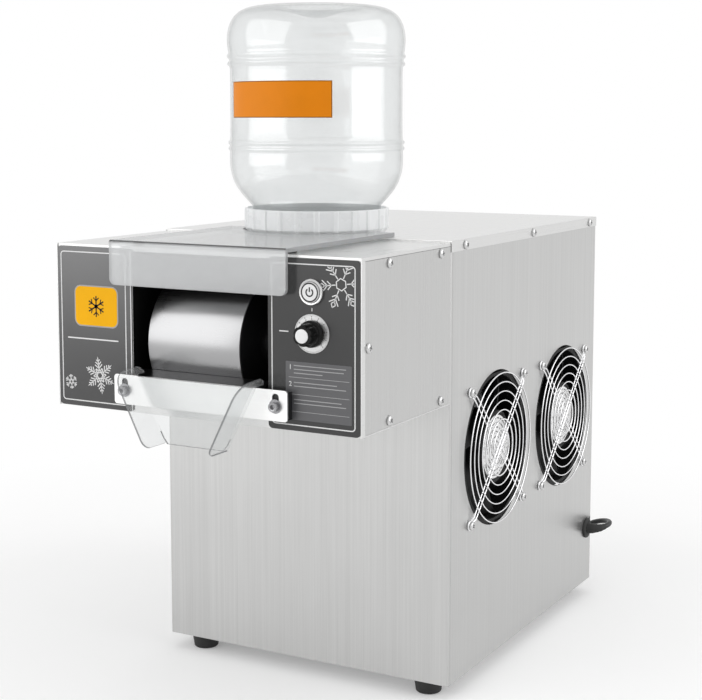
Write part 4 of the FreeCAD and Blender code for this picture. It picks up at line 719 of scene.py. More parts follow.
def flat_shape(loops: Sequence[Sequence[Flat]], thickness: float) -> Mesh:
    """Fill closed outlines, with holes where they nest, and give them a thickness.

    Args:
        loops: Outlines in local X and Y.
        thickness: Thickness along local Z, from nought up.

    Returns:
        The filled solid.
    """
    curve = bpy.data.curves.new("outline", "CURVE")
    curve.dimensions = "2D"
    curve.fill_mode = "BOTH"
    for loop in loops:
        spline = curve.splines.new("POLY")
        spline.points.add(len(loop) - 1)
        for point, (x, y) in zip(spline.points, loop):
            point.co = (x, y, 0.0, 1.0)
        spline.use_cyclic_u = True
    return filled(curve, thickness)


def flat_text(text: str, height: float, thickness: float, x: float, y: float) -> Mesh:
    """A plain figure as a thin solid, centred on a point."""
    curve = bpy.data.curves.new("figure", "FONT")
    curve.body = text
    curve.size = height
    curve.align_x = curve.align_y = "CENTER"
    curve.resolution_u = 3
    mesh = filled(curve, thickness)
    mesh.transform(Matrix.Translation((x, y, 0.0)))
    return mesh


def rounded_loop(low: Flat, high: Flat, radius: float, steps: int = 6) -> Loop:
    """A rounded rectangle's outline."""
    loop: Loop = []
    corners = [(high[0], high[1], 0), (low[0], high[1], 1), (low[0], low[1], 2), (high[0], low[1], 3)]
    for x, y, quarter in corners:
        centre_x = x + (-radius if quarter in (0, 3) else radius)
        centre_y = y + (-radius if quarter in (0, 1) else radius)
        for step in range(steps + 1):
            angle = math.pi / 2 * (quarter + step / steps)
            loop.append((centre_x + radius * math.cos(angle), centre_y + radius * math.sin(angle)))
    return loop


def bar_loop(low: Flat, high: Flat) -> Loop:
    """A plain rectangle's outline."""
    return [low, (high[0], low[1]), high, (low[0], high[1])]


def stroke_loop(start: Flat, end: Flat, width: float) -> Loop:
    """A straight stroke of a given width."""
    run, rise = end[0] - start[0], end[1] - start[1]
    length = math.hypot(run, rise)
    x, y = -rise / length * width / 2, run / length * width / 2
    return [(start[0] + x, start[1] + y), (start[0] - x, start[1] - y), (end[0] - x, end[1] - y),
            (end[0] + x, end[1] + y)]


def joined(meshes: Iterable[Mesh]) -> Mesh:
    """Join meshes into one."""
    bm = bmesh.new()
    for mesh in meshes:
        bm.from_mesh(mesh)
        bpy.data.meshes.remove(mesh)
    made = bpy.data.meshes.new("joined")
    bm.to_mesh(made)
    bm.free()
    return made


def arc_points(radius: float, start: float, end: float, steps: int, x: float = 0.0, y: float = 0.0) -> Loop:
    """Points on an arc, from one angle to another in radians, both ends included."""
    angles = [start + (end - start) * step / steps for step in range(steps + 1)]
    return [(x + radius * math.cos(angle), y + radius * math.sin(angle)) for angle in angles]


def ring_loop(radius: float, steps: int) -> Loop:
    """A circle's outline."""
    return arc_points(radius, 0.0, math.tau, steps)[:-1]


def eased(mesh: Mesh, width: float, segments: int = 2) -> Mesh:
    """Round a mesh's sharp edges and even out its shading.

    Args:
        mesh: The mesh to round.
        width: Width of the rounding.
        segments: Steps in it.

    Returns:
        The rounded mesh.
    """
    smooth(mesh)
    helper = new_object("easing", mesh)
    ease = helper.modifiers.new("eased_edges", "BEVEL")
    ease.width = width
    ease.segments = segments
    ease.limit_method = "ANGLE"
    ease.angle_limit = math.radians(42.0)
    ease.use_clamp_overlap = False
    even = helper.modifiers.new("even_shading", "WEIGHTED_NORMAL")
    even.mode = "FACE_AREA"
    even.weight = 100
    return mesh_from(helper)


def mark_edges(bm: BMesh, sheet: float) -> None:
    """Give the narrow edge faces of a sheet the second finish.

    Args:
        bm: The sheet.
        sheet: Its thickness; a broad face has another just that far behind it.
    """
    tree = BVHTree.FromBMesh(bm)
    largest: dict[int, tuple[float, Vector]] = {}
    for loops in bm.calc_loop_triangles():
        face = loops[0].face
        corners = [loop.vert.co for loop in loops]
        area = (corners[1] - corners[0]).cross(corners[2] - corners[0]).length
        if area > largest.get(face.index, (0.0,))[0]:
            largest[face.index] = (area, sum(corners, Vector()) / 3)
    for face in bm.faces:
        if face.index not in largest:
            continue
        start = largest[face.index][1] - face.normal * 0.01 * MM
        distance = tree.ray_cast(start, -face.normal)[3]
        face.material_index = int(distance is None or distance > sheet * 1.6)


def refined(node: str, name: str, finish: Finish, width: float = 0.3 * MM,
            edge: Optional[Finish] = None, sheet: float = 0.0, segments: int = 2) -> Object:
    """Stand a copy with eased edges in for a CAD node.

    Args:
        node: The CAD node to copy.
        name: The new piece's name.
        finish: The main finish.
        width: Width of the eased edge.
        edge: Finish of the sheet's narrow edge faces, where it differs.
        sheet: Sheet thickness that tells edge faces from broad ones.
        segments: Steps in the eased edge.

    Returns:
        The new piece.
    """
    source = frame["nodes"][node]
    bm = welded(source.data)
    bmesh.ops.dissolve_limit(bm, angle_limit=math.radians(0.6), use_dissolve_boundaries=False, verts=bm.verts,
                             edges=bm.edges, delimit=set())
    if edge is not None:
        mark_edges(bm, sheet)
    mesh = bpy.data.meshes.new(name)
    bm.to_mesh(mesh)
    bm.free()
    for each in (finish, edge) if edge is not None else (finish,):
        mesh.materials.append(each.material())
    return add_piece(name, eased(mesh, width, segments), None, source["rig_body"], (node,), None)


# ------------------------------------------------------------------ geometry nodes
class Recipe:
    """A Geometry Nodes tree with named sizes, built for one kind of piece."""

    def __init__(self, name: str, **sizes: Union[int, float]) -> None:
        """Start the tree and name its inputs, with the values that the piece uses."""
        self.tree = bpy.data.node_groups.new(name, "GeometryNodeTree")
        face = self.tree.interface
        for way in ("INPUT", "OUTPUT"):
            face.new_socket(name="Geometry", in_out=way, socket_type="NodeSocketGeometry")
        self.values: dict[str, Union[int, float]] = {}
        for label, value in sizes.items():
            kind = "NodeSocketInt" if isinstance(value, int) else "NodeSocketFloat"
            self.values[face.new_socket(name=label, in_out="INPUT", socket_type=kind).identifier] = value
        self.entry = self.tree.nodes.new("NodeGroupInput")

    def size(self, label: str = "Geometry") -> Socket:
        """The socket of a named size, or of the incoming geometry."""
        return self.entry.outputs[label]

    def node(self, kind: str, inputs: Optional[Inputs] = None, output: int = 0, **settings: Any) -> Socket:
        """Add a node and hand over one of its outputs."""
        return add_node(self.tree, kind, inputs or {}, settings).outputs[output]

    def vector(self, **axes: Any) -> Socket:
        """A vector from its coordinates."""
        return self.node("ShaderNodeCombineXYZ", axes)

    def maths(self, operation: str, first: Any, second: Any) -> Socket:
        """Add a Math node."""
        return self.node("ShaderNodeMath", {0: first, 1: second}, operation=operation)

    def on_points(self, points: Socket, shape: Socket, **turn: Any) -> Socket:
        """Set a shape on every point."""
        return self.node("GeometryNodeInstanceOnPoints", {"Points": points, "Instance": shape, **turn})

    def around(self, label: str, step: float) -> Socket:
        """Repeat the incoming shape round local Z: the named number of times, a step apart in radians."""
        turn = self.vector(Z=self.maths("MULTIPLY", self.node("GeometryNodeInputIndex"), step))
        points = self.node("GeometryNodePoints", {"Count": self.size(label)})
        return self.on_points(points, self.size(), Rotation=turn)

    def build(self, shape: Socket, base: Mesh, finish: Finish) -> Mesh:
        """End the tree, run it on a base mesh and take the plain result.

        Args:
            shape: The tree's last geometry socket.
            base: The mesh that the tree starts from.
            finish: The finish that Set Material gives.

        Returns:
            The plain mesh.
        """
        solid = self.node("GeometryNodeRealizeInstances", {0: shape})
        dressed = self.node("GeometryNodeSetMaterial", {"Geometry": solid, "Material": finish.material()})
        self.tree.links.new(dressed, self.tree.nodes.new("NodeGroupOutput").inputs[0])
        helper = new_object("recipe", base)
        modifier = helper.modifiers.new("recipe", "NODES")
        modifier.node_group = self.tree
        for identifier, value in self.values.items():
            modifier[identifier] = value
        return mesh_from(helper)


# ------------------------------------------------------------------ camera, floor and light
@dataclass
class Studio:
    """Camera, pale floor, white surround and soft lamps."""

    eye: Point = (0.7362, -1.33046, 0.55229)
    yaw: float = 0.503746
    pitch: float = 0.108289
    lens: float = 76.559
    shift: float = -0.0997
    floor_reach: float = 12.0
    floor_drop: float = 0.6 * MM
    white_from: float = 0.50
    white_middle: float = 0.05
    surround: float = 0.56
    lamp_target: Point = (0.0, -0.05, 0.32)
    lamps: tuple[tuple[str, Point, Flat, float], ...] = (
        ("key", (-1.8, -2.2, 1.3), (3.6, 2.6), 39.0), ("fill", (2.8, 0.65, 1.4), (3.2, 2.3), 37.0),
        ("top", (0.2, 0.2, 2.8), (3.4, 3.4), 19.0))

    def aimed(self, name: str, data: Any, place: Point, aim: Vector) -> Object:
        """Put a camera or a lamp at a place, looking along a direction."""
        made = new_object(name, data)
        made.location = place
        made.rotation_mode = "QUATERNION"
        made.rotation_quaternion = aim.to_track_quat("-Z", "Y")
        return made

    def camera(self) -> None:
        """Make the camera and set it as the scene's."""
        data = bpy.data.cameras.new("camera")
        data.lens = self.lens
        data.sensor_width = 36.0
        data.shift_y = self.shift
        data.clip_start, data.clip_end = 0.05, 60.0
        level = math.cos(self.pitch)
        aim = Vector((-math.sin(self.yaw) * level, math.cos(self.yaw) * level, -math.sin(self.pitch)))
        bpy.context.scene.camera = self.aimed("camera", data, self.eye, aim)

    def lamp(self, name: str, place: Point, size: Flat, power: float) -> None:
        """Hang one soft rectangular lamp, with its size in metres and its power in watts."""
        data = bpy.data.lights.new(name, "AREA")
        data.shape = "RECTANGLE"
        data.size, data.size_y = size
        data.energy = power
        self.aimed(name, data, place, Vector(self.lamp_target) - Vector(place))

    def world(self) -> None:
        """White to the eye and to gloss, with a soft grey card round the front; dimmer as a light."""
        world = bpy.data.worlds.new("surround")
        bpy.context.scene.world = world
        shader = Shader("surround", world)
        across, depth, height = shader.parts(shader.value("ShaderNodeTexCoord", output="Generated"))
        front = (across * math.sin(self.yaw) - depth * math.cos(self.yaw)).clamp()
        gloss: Input = 1.0
        for value, start, slope, loss in (
                (front, 0.90, 12.0, 0.26),  # the grey card
                (depth * 0.80 + across * 0.55, 0.35, 1.8, 0.08),  # behind, to the right
                (height * -1.0, -0.02, 5.0, 0.16),  # below
                (height, 0.70, 5.0, 0.5)):  # overhead
            gloss = gloss - ((value - start) * slope).clamp() * loss
        mirror = shader.ray("Glossy")
        plain = shader.ray("Camera", "Transmission")
        strength = plain + (1.0 - plain) * (mirror * gloss + (1.0 - mirror) * self.surround)
        shade = shader.value("ShaderNodeBackground", {"Color": (1.0, 1.0, 1.0), "Strength": strength})
        add_node(shader.tree, "ShaderNodeOutputWorld", {"Surface": shade}, {})

    def floor(self) -> None:
        """Lay the pale floor: white to the eye, with the shadow kept."""
        shader = Shader("pale_floor")
        cloud = shader.noise(shader.place(), 3.0, 2.0)
        paint = shader.principled(shader.shade(grey(0.82), 1.0 + cloud * 0.02), 0.9, glint=0.1)
        lit = shader.value("ShaderNodeAddShader", {0: paint, 1: shader.emit(0.22)})
        across, depth, _ = shader.parts(shader.place())
        depth = depth - self.white_middle
        fade = (((across * across + depth * depth) ** 0.5 - self.white_from) * 2.2).clamp()
        shown = shader.mix(fade, lit, shader.emit(1.0))
        material = shader.close(shader.mix(shader.ray("Camera", "Glossy", "Transmission"), paint, shown))
        bm = bmesh.new()
        bmesh.ops.create_grid(bm, x_segments=2, y_segments=2, size=self.floor_reach)
        floor = new_object("floor", to_mesh(bm))
        floor.data.materials.append(material)
        floor.location.z = -self.floor_drop

    def build(self) -> None:
        """Set up the picture."""
        bpy.context.scene.view_settings.view_transform = "Standard"
        self.camera()
        self.world()
        self.floor()
        for lamp in self.lamps:
            self.lamp(*lamp)


# ------------------------------------------------------------------ mains lead
@dataclass
class MainsLead:
    """Mains cord from the side gland, round the rear corner to a coil behind, with its plug."""

    diameter: float = 0.006
    turns: int = 3
    steps: int = 14
    coil_middle: Flat = (0.0272, 0.3605)
    coil_outer: float = 0.042
    coil_inner: float = 0.024
    low: float = 0.003
    high: float = 0.009
    start_angle: float = -75.0
    end_angle: float = -90.0
    relief_length: float = 20.0 * MM
    relief_rib: float = 2.2 * MM
    relief_wall: float = 3.2 * MM
    relief_groove: float = 0.25 * MM
    route: tuple[Point, ...] = (
        (0.1607, 0.2851, 0.0785), (0.1702, 0.2855, 0.0788), (0.1790, 0.2945, 0.0810),
        (0.1795, 0.3075, 0.0825), (0.1707, 0.3180, 0.0810), (0.1572, 0.3235, 0.0770),
        (0.1450, 0.3271, 0.0710), (0.1352, 0.3305, 0.0600), (0.1277, 0.3328, 0.0460),
        (0.1202, 0.3338, 0.0318), (0.1107, 0.3335, 0.0188), (0.0982, 0.3320, 0.0094),
        (0.0832, 0.3298, 0.0046), (0.0677, 0.3271, 0.0032), (0.0526, 0.3238, 0.0030),
        (0.0381, 0.3199, 0.0030))
    tail: tuple[Point, ...] = ((0.0192, 0.3194, 0.0090), (0.0052, 0.3187, 0.0090), (-0.0100, 0.3191, 0.0090))

    def coil(self) -> list[Point]:
        """Points of both layers of turns, wound clockwise from above."""
        points: list[Point] = []
        sweep = 360.0 * 2 * self.turns + (self.start_angle - self.end_angle)
        count = 2 * self.turns * self.steps
        for index in range(1, count + 1):
            part = index / count
            angle = math.radians(self.start_angle - sweep * part)
            inward = 1.0 - abs(1.0 - 2.0 * part)
            radius = self.coil_outer - (self.coil_outer - self.coil_inner) * inward
            climb = min(max((part - 0.5) * self.turns * 2 + 0.5, 0.0), 1.0)
            points.append((self.coil_middle[0] + radius * math.cos(angle),
                           self.coil_middle[1] + radius * math.sin(angle),
                           self.low + (self.high - self.low) * climb))
        return points

    def spline_curve(self, name: str, bevel: float) -> Object:
        """The lead's one NURBS spline.

        Args:
            name: The curve's name.
            bevel: Radius of its round section, or nought for the bare line.

        Returns:
            The curve object.
        """
        curve = bpy.data.curves.new(name, "CURVE")
        curve.dimensions = "3D"
        curve.resolution_u = 8
        curve.bevel_depth = bevel
        curve.bevel_resolution = 5
        curve.use_fill_caps = True
        points = [*self.route, *self.coil(), *self.tail]
        spline = curve.splines.new("NURBS")
        spline.points.add(len(points) - 1)
        for point, place in zip(spline.points, points):
            point.co = (*place, 1.0)
        spline.order_u = 3
        spline.use_endpoint_u = True
        return new_object(name, curve)

    def line(self) -> list[Vector]:
        """Points along the bare spline, in order."""
        mesh = mesh_from(self.spline_curve("bare_line", 0.0))
        points = [vertex.co.copy() for vertex in mesh.vertices]
        bpy.data.meshes.remove(mesh)
        return points

    def sleeve(self, path: Sequence[Vector], radii: Sequence[float], segments: int = 28) -> BMesh:
        """A round sleeve along a path with a radius for each point, closed at both ends."""
        bm = bmesh.new()
        rings = []
        for index, (place, radius) in enumerate(zip(path, radii)):
            ahead = path[min(index + 1, len(path) - 1)] - path[max(index - 1, 0)]
            side = ahead.cross(Vector((0.0, 0.0, 1.0))).normalized()
            rise = side.cross(ahead).normalized()
            rings.append([bm.verts.new(place + x * side + y * rise) for x, y in ring_loop(radius, segments)])
        for first, second in zip(rings, rings[1:]):
            for step in range(segments):
                after = (step + 1) % segments
                bm.faces.new((first[step], first[after], second[after], second[step]))
        bm.faces.new(rings[0])
        bm.faces.new(rings[-1])
        return bm

    def gland(self) -> Object:
        """Round flange on the side panel with a neck through it."""
        low, high = box_of("cord_gland")
        centre = Vector((low.x, (low.y + high.y) / 2, (low.z + high.z) / 2))
        panel = box_of("right_side_panel")[1].x - centre.x
        rim = high.x - centre.x
        flange = (high.y - low.y) / 2
        neck = flange * 0.62
        profile = [(0.0, 0.0), (neck, 0.0), (neck, panel), (flange, panel), (flange, rim - 2.1 * MM),
                   (flange * 0.95, rim - 1.0 * MM), (flange * 0.80, rim - 0.3 * MM), (neck, rim), (0.0, rim)]
        return add_turned("cord_gland_flange", profile, 64, Facing.RIGHT.at(centre), BLACK_RUBBER, "cabinet",
                          ("cord_gland",), 38.0)

    def relief(self, line: Sequence[Vector]) -> Object:
        """Ribbed strain relief that thins along the cord's first stretch."""
        path: list[Vector] = []
        radii: list[float] = []
        run = 0.0
        for before, after in zip(line, line[1:]):
            part = min(run / self.relief_length, 1.0)
            groove = self.relief_groove if int(run / self.relief_rib) % 2 else 0.0
            path.append(before)
            radii.append(self.diameter / 2 + self.relief_wall * (1.0 - part) + 0.3 * MM - groove)
            run += (after - before).length
            if run > self.relief_length:
                break
        return add_piece("gland_strain_relief", to_mesh(self.sleeve(path, radii)), BLACK_RUBBER, "cabinet")

    def build(self) -> None:
        """Make the cord, its gland, its strain relief and its plug."""
        line = self.line()
        lead = self.spline_curve("mains_cord", self.diameter / 2)
        lead.data.materials.append(CORD_JACKET.material())
        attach(lead, "cabinet")
        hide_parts("power_cord", "cord_coil")
        gland, relief = self.gland(), self.relief(line)
        plug = refined("power_plug", "moulded_plug", BLACK_MOULDING, 1.2 * MM, segments=3)


# ------------------------------------------------------------------ screws
@dataclass
class PanScrews:
    """Pan head screws with a cross recess, set out on the CAD screws."""

    head_radius: float = 4.5 * MM
    head_height: float = 2.4 * MM
    shank_radius: float = 2.0 * MM
    shank_length: float = 8.0 * MM
    recess_width: float = 1.1 * MM
    recess_reach: float = 5.0 * MM
    recess_depth: float = 1.5 * MM
    turn_seed: int = 7

    def head(self) -> Mesh:
        """One screw along local Z with its head's underside at nought."""
        top, radius, shank, end = self.head_height, self.head_radius, self.shank_radius, -self.shank_length
        dome = [(0.0, end), (shank * 0.7, end), (shank, end + 0.8 * MM), (shank, 0.0), (radius, 0.0)]
        dome += [(radius * out, top * up) for out, up in (
            (1.0, 0.30), (0.97, 0.52), (0.88, 0.74), (0.70, 0.90), (0.42, 0.98), (0.0, 1.0))]
        screw = new_object("screw", to_mesh(turned(dome, 28)))
        cross = bmesh.new()
        for length, width in ((self.recess_reach, self.recess_width), (self.recess_width, self.recess_reach)):
            size = Matrix.Diagonal((length / 2, width / 2, self.recess_depth, 1.0))
            bmesh.ops.create_cube(cross, size=2.0, matrix=Matrix.Translation((0.0, 0.0, top)) @ size)
        cutter = new_object("recess", to_mesh(cross))
        cut = screw.modifiers.new("recess", "BOOLEAN")
        cut.operation = "DIFFERENCE"
        cut.solver = "EXACT"
        cut.use_self = True
        cut.object = cutter
        mesh = mesh_from(screw)
        bpy.data.objects.remove(cutter)
        return mesh

    def stand(self, island: Sequence[Vector]) -> tuple[Vector, Vector]:
        """Where a CAD screw's head stands and the way that it looks."""
        low, high = [Vector([pick(corner[axis] for corner in island) for axis in range(3)])
                     for pick in (min, max)]
        place, spans = (low + high) / 2, high - low
        axis = max(range(3), key=lambda each: spans[each])
        wide = [corner[axis] for corner in island
                if sum((corner[each] - place[each]) ** 2 for each in range(3) if each != axis)
                > (self.head_radius * 0.9) ** 2]
        outward = 1.0 if sum(wide) / len(wide) > place[axis] else -1.0
        place[axis] = (high[axis] if outward > 0 else low[axis]) - outward * self.head_height
        aim = Vector()
        aim[axis] = outward
        return place, aim

    def places(self, node: str) -> Mesh:
        """A point on each CAD screw with the way that its head looks."""
        bm = welded(frame["nodes"][node].data)
        unseen = set(bm.verts)
        stands: list[tuple[Vector, Vector]] = []
        for seed in bm.verts:
            if seed not in unseen:
                continue
            unseen.remove(seed)
            island, front = [seed.co], [seed]
            while front:
                vertex = front.pop()
                for other in (side.other_vert(vertex) for side in vertex.link_edges):
                    if other in unseen:
                        unseen.remove(other)
                        island.append(other.co)
                        front.append(other)
            stands.append(self.stand(island))
        bm.free()
        mesh = point_mesh(place for place, _ in stands)
        aimed = mesh.attributes.new("aim", "FLOAT_VECTOR", "POINT")
        for item, (_, aim) in zip(aimed.data, stands):
            item.vector = aim
        return mesh

    def build(self) -> None:
        """Set a screw on every point, each turned a little differently."""
        screw = new_object("one_screw", self.head())
        recipe = Recipe("pan_screws", Seed=self.turn_seed)
        one = recipe.node("GeometryNodeObjectInfo", {"Object": screw}, 4)
        aim = recipe.node("GeometryNodeInputNamedAttribute", {"Name": "aim"}, data_type="FLOAT_VECTOR")
        spin = recipe.node("FunctionNodeRandomValue", {2: 0.0, 3: math.pi, "Seed": recipe.size("Seed")}, 1,
                           data_type="FLOAT")
        facing = recipe.node("FunctionNodeAlignRotationToVector",
                             {"Rotation": recipe.vector(Z=spin), "Vector": aim}, axis="Z")
        set_out = recipe.on_points(recipe.size(), one, Rotation=facing)
        mesh = recipe.build(set_out, self.places("pan_head_screws"), SCREW_STEEL)
        bpy.data.objects.remove(screw)
        add_piece("cross_head_screws", mesh, None, "cabinet", ("pan_head_screws",), 30.0)


# ------------------------------------------------------------------ cabinet and head
@dataclass
class SheetMetal:
    """The cabinet's and head's sheets, with eased edges, and the rubber feet."""

    ease: float = 0.35 * MM
    foot_segments: int = 56
    foot_radius: float = 15.0 * MM
    tread: float = 12.5 * MM
    sheets: tuple[tuple[Finish, str, tuple[str, ...]], ...] = (
        (CABINET_STEEL, "brushed_steel", ("front_panel", "left_side_panel", "right_side_panel",
                                          "back_panel")),
        (LID_STEEL, "lid_steel", ("top_lid", "head_shell")),
        (HEAD_STEEL, "brushed_steel", ("head_left_plate", "head_right_plate")),
        (TRAY_STEEL, "brushed_steel", ("base_tray",)), (LEFT_PRINT, "fascia_gloss", ("left_fascia",)),
        (RIGHT_PRINT, "fascia_gloss", ("right_fascia",)))

    def feet(self) -> None:
        """Turn the four feet with a rounded tread and a shallow waist, by Geometry Nodes."""
        low, high = box_of("rubber_feet")
        tall, wide, tread = high.z - low.z, self.foot_radius, self.tread
        profile = [(0.0, 0.8 * MM), (tread * 0.55, 0.8 * MM), (tread * 0.62, 0.0), (tread * 0.93, 0.0),
                   (tread, 0.9 * MM), (tread + 0.6 * MM, tall * 0.35), (wide - 0.9 * MM, tall * 0.72),
                   (wide, tall - 1.5 * MM), (wide - 0.6 * MM, tall), (0.0, tall)]
        foot = new_object("one_foot", to_mesh(turned(profile, self.foot_segments)))
        places = point_mesh((x, y, low.z) for x in (low.x + wide, high.x - wide)
                            for y in (low.y + wide, high.y - wide))
        recipe = Recipe("rubber_feet", Size=1.0)
        size = recipe.size("Size")
        one = recipe.node("GeometryNodeObjectInfo", {"Object": foot}, 4)
        feet = recipe.on_points(recipe.size(), one, Scale=recipe.vector(X=size, Y=size, Z=size))
        mesh = recipe.build(feet, places, BLACK_RUBBER)
        bpy.data.objects.remove(foot)
        add_piece("turned_feet", mesh, None, "cabinet", ("rubber_feet",))

    def build(self) -> None:
        """Stand the eased sheets in for the CAD ones."""
        for finish, slot, nodes in self.sheets:
            for node in nodes:
                refined(node, node + "_sheet", finish, self.ease)
        self.feet()


@dataclass
class Printing:
    """White lines, snowflakes, badge and plain bars on the two fascias."""

    film: float = 0.16 * MM
    line: float = 1.0 * MM
    inset: Flat = (3.4 * MM, 4.6 * MM)
    corner: float = 3.5 * MM
    badge_rim: float = 1.2 * MM

    def lay(self, name: str, meshes: Sequence[Mesh], node: str, finish: Finish,
            lift: float = 0.0) -> None:
        """Join prints, drawn with X across and Y up, lay them on a fascia and add them as one piece."""
        mesh = joined(meshes)
        mesh.transform(Facing.FRONT.at((0.0, box_of(node)[0].y - lift, 0.0)))
        add_piece(name, mesh, finish, "cabinet")

    def shape(self, loop: Loop, share: float = 1.0) -> Mesh:
        """One filled outline with a share of the film's thickness."""
        return flat_shape([loop], self.film * share)

    def frame_line(self, low: Flat, high: Flat) -> Mesh:
        """A rounded border line."""
        line = self.line
        return flat_shape([rounded_loop(low, high, self.corner),
                           rounded_loop((low[0] + line, low[1] + line), (high[0] - line, high[1] - line),
                                        self.corner - line)], self.film)

    def feather_arm(self, reach: float, width: float) -> list[Loop]:
        """One feathered snowflake arm along local Y."""
        loops = [[(-width * 0.6, reach * 0.2), (width * 0.6, reach * 0.2), (width * 0.35, reach * 0.9),
                  (0.0, reach), (-width * 0.35, reach * 0.9)]]
        return loops + [stroke_loop((side * width * 0.2, reach * part),
                                    (side * reach * length, reach * (part + length * 0.85)), width * 0.82)
                        for part, length in ((0.20, 0.19), (0.38, 0.23), (0.56, 0.18), (0.74, 0.11))
                        for side in (-1, 1)]

    def line_arm(self, reach: float, width: float) -> list[Loop]:
        """One thin outlined arm along local Y with barbs and an open tip."""
        loops = [stroke_loop((0.0, reach * 0.25), (0.0, reach * 0.80), width)]
        loops += [stroke_loop((0.0, reach * part), (side * reach * length, reach * (part + length)), width)
                  for part, length in ((0.44, 0.17), (0.62, 0.22)) for side in (-1, 1)]
        tip = [(0.0, reach * 0.74), (reach * 0.10, reach * 0.86), (0.0, reach * 0.99),
               (-reach * 0.10, reach * 0.86)]
        return loops + [stroke_loop(start, end, width) for start, end in zip(tip, tip[1:] + tip[:1])]

    def barbed_arm(self, stem: Flat, width: float, barb: Point, barb_width: float) -> list[Loop]:
        """A straight arm, from start to end, with one pair of barbs: their start, reach and end."""
        start, reach, end = barb
        return [stroke_loop((0.0, stem[0]), (0.0, stem[1]), width)] + [
            stroke_loop((0.0, start), (side * reach, end), barb_width) for side in (1, -1)]

    def snowflake(self, name: str, loops: Sequence[Loop], centre: Flat, hub: Sequence[float], turn: float,
                  finish: Finish = PRINT_WHITE) -> Mesh:
        """Repeat an arm six times round its middle by Geometry Nodes.

        Args:
            name: Name of the tree.
            loops: The arm's outlines.
            centre: The flake's middle on the fascia.
            hub: Radii of the six-sided middle's outlines.
            turn: Turn of the whole flake, in radians.
            finish: Its finish.

        Returns:
            The flake in the fascia's drawing plane.
        """
        recipe = Recipe(name, Arms=6)
        arms = recipe.build(recipe.around("Arms", math.pi / 3), joined(self.shape(loop) for loop in loops),
                            finish)
        mesh = joined([arms, flat_shape([ring_loop(radius, 6) for radius in hub], self.film)])
        mesh.transform(Matrix.Translation((*centre, 0.0)) @ Matrix.Rotation(turn, 4, "Z"))
        return mesh

    def clipped(self, mesh: Mesh, right: float, top: float) -> Mesh:
        """Cut a drawing off to the left of one line and below another."""
        bm = bmesh.new()
        bm.from_mesh(mesh)
        for place, normal in (((right, 0.0, 0.0), (1.0, 0.0, 0.0)), ((0.0, top, 0.0), (0.0, 1.0, 0.0))):
            cut = bmesh.ops.bisect_plane(bm, geom=[*bm.verts, *bm.edges, *bm.faces], plane_co=place,
                                         plane_no=normal, clear_outer=True)
            edges = [item for item in cut["geom_cut"] if isinstance(item, bmesh.types.BMEdge)]
            bmesh.ops.holes_fill(bm, edges=edges, sides=0)
        return to_mesh(bm)

    def left(self) -> None:
        """Left fascia: border, window line, badge, rule and two snowflakes."""
        node = "left_fascia"
        low, high = box_of(node)
        border = self.frame_line((low.x + self.inset[0], low.z + self.inset[1]),
                                 (high.x - 6.2 * MM, high.z - self.inset[1]))
        side = self.shape(bar_loop((high.x - 1.3 * MM, low.z + 1.0 * MM),
                                   (high.x - 0.2 * MM, high.z - 1.0 * MM)))
        middle = (low.x + high.x) / 2 - 2.5 * MM
        rule = self.shape(rounded_loop((middle - 29 * MM, 0.3505), (middle + 29 * MM, 0.3517), 0.5 * MM))
        big = self.snowflake("feather_flake", self.feather_arm(17.5 * MM, 1.15 * MM),
                             (low.x + 46.5 * MM, 0.3181),
                             (4.3 * MM, 2.6 * MM), math.radians(8))
        small_arm = self.barbed_arm((1.8 * MM, 6.6 * MM), 1.5 * MM, (3.6 * MM, 2.0 * MM, 5.8 * MM), 0.9 * MM)
        small = self.snowflake("small_flake", small_arm, (low.x + 13.2 * MM, 0.3098), (2.4 * MM, 1.3 * MM),
                               0.1)
        self.lay("left_fascia_lines", [border, side, rule, big, small], node, PRINT_WHITE)
        start, end, rim = (low.x + 18.8 * MM, 0.3625), (low.x + 68.6 * MM, 0.4005), self.badge_rim
        self.lay("badge_rim", [self.shape(rounded_loop(start, end, 7 * MM))], node, PRINT_PALE)
        plate = rounded_loop((start[0] + rim, start[1] + rim), (end[0] - rim, end[1] - rim), 5.8 * MM)
        self.lay("badge_plate", [self.shape(plate, 1.8)], node, PRINT_YELLOW)
        mark_arm = self.barbed_arm((0.0, 9.6 * MM), 1.3 * MM, (5.2 * MM, 3.0 * MM, 8.0 * MM), 1.0 * MM)
        mark = self.snowflake("badge_flake", mark_arm, ((start[0] + end[0]) / 2, (start[1] + end[1]) / 2),
                              (2.0 * MM,), 0.0, PRINT_DARK)
        self.lay("badge_mark", [mark], node, PRINT_DARK, lift=self.film * 1.2)

    def instructions(self, start: Flat, end: Flat) -> None:
        """Plain block of bars in two numbered steps, between two corners."""
        node = "right_fascia"
        self.lay("instruction_block", [self.shape(rounded_loop(start, end, 0.8 * MM), 0.6)], node, PRINT_GREY)
        left, right = start[0] + 3 * MM, end[0] - 2.2 * MM
        marks = [self.shape(bar_loop((left, level), (right, level + 0.45 * MM)))
                 for level in (0.3338, 0.3192, 0.3045)]
        indent = left + 5.0 * MM
        for level, share in ((0.3437, 0.94), (0.3405, 0.90), (0.3373, 0.52), (0.3293, 0.78), (0.3261, 0.94),
                             (0.3146, 0.86), (0.3114, 0.94)):
            bar = bar_loop((indent, level), (indent + (right - indent) * share, level + 0.75 * MM))
            marks.append(self.shape(bar, 0.8))
        self.lay("instruction_marks", marks, node, PRINT_PALE)
        figures = [flat_text(figure, 6.0 * MM, self.film, left + 1.6 * MM, level)
                   for figure, level in (("1", 0.3425), ("2", 0.3281))]
        self.lay("instruction_figures", figures, node, PRINT_WHITE)

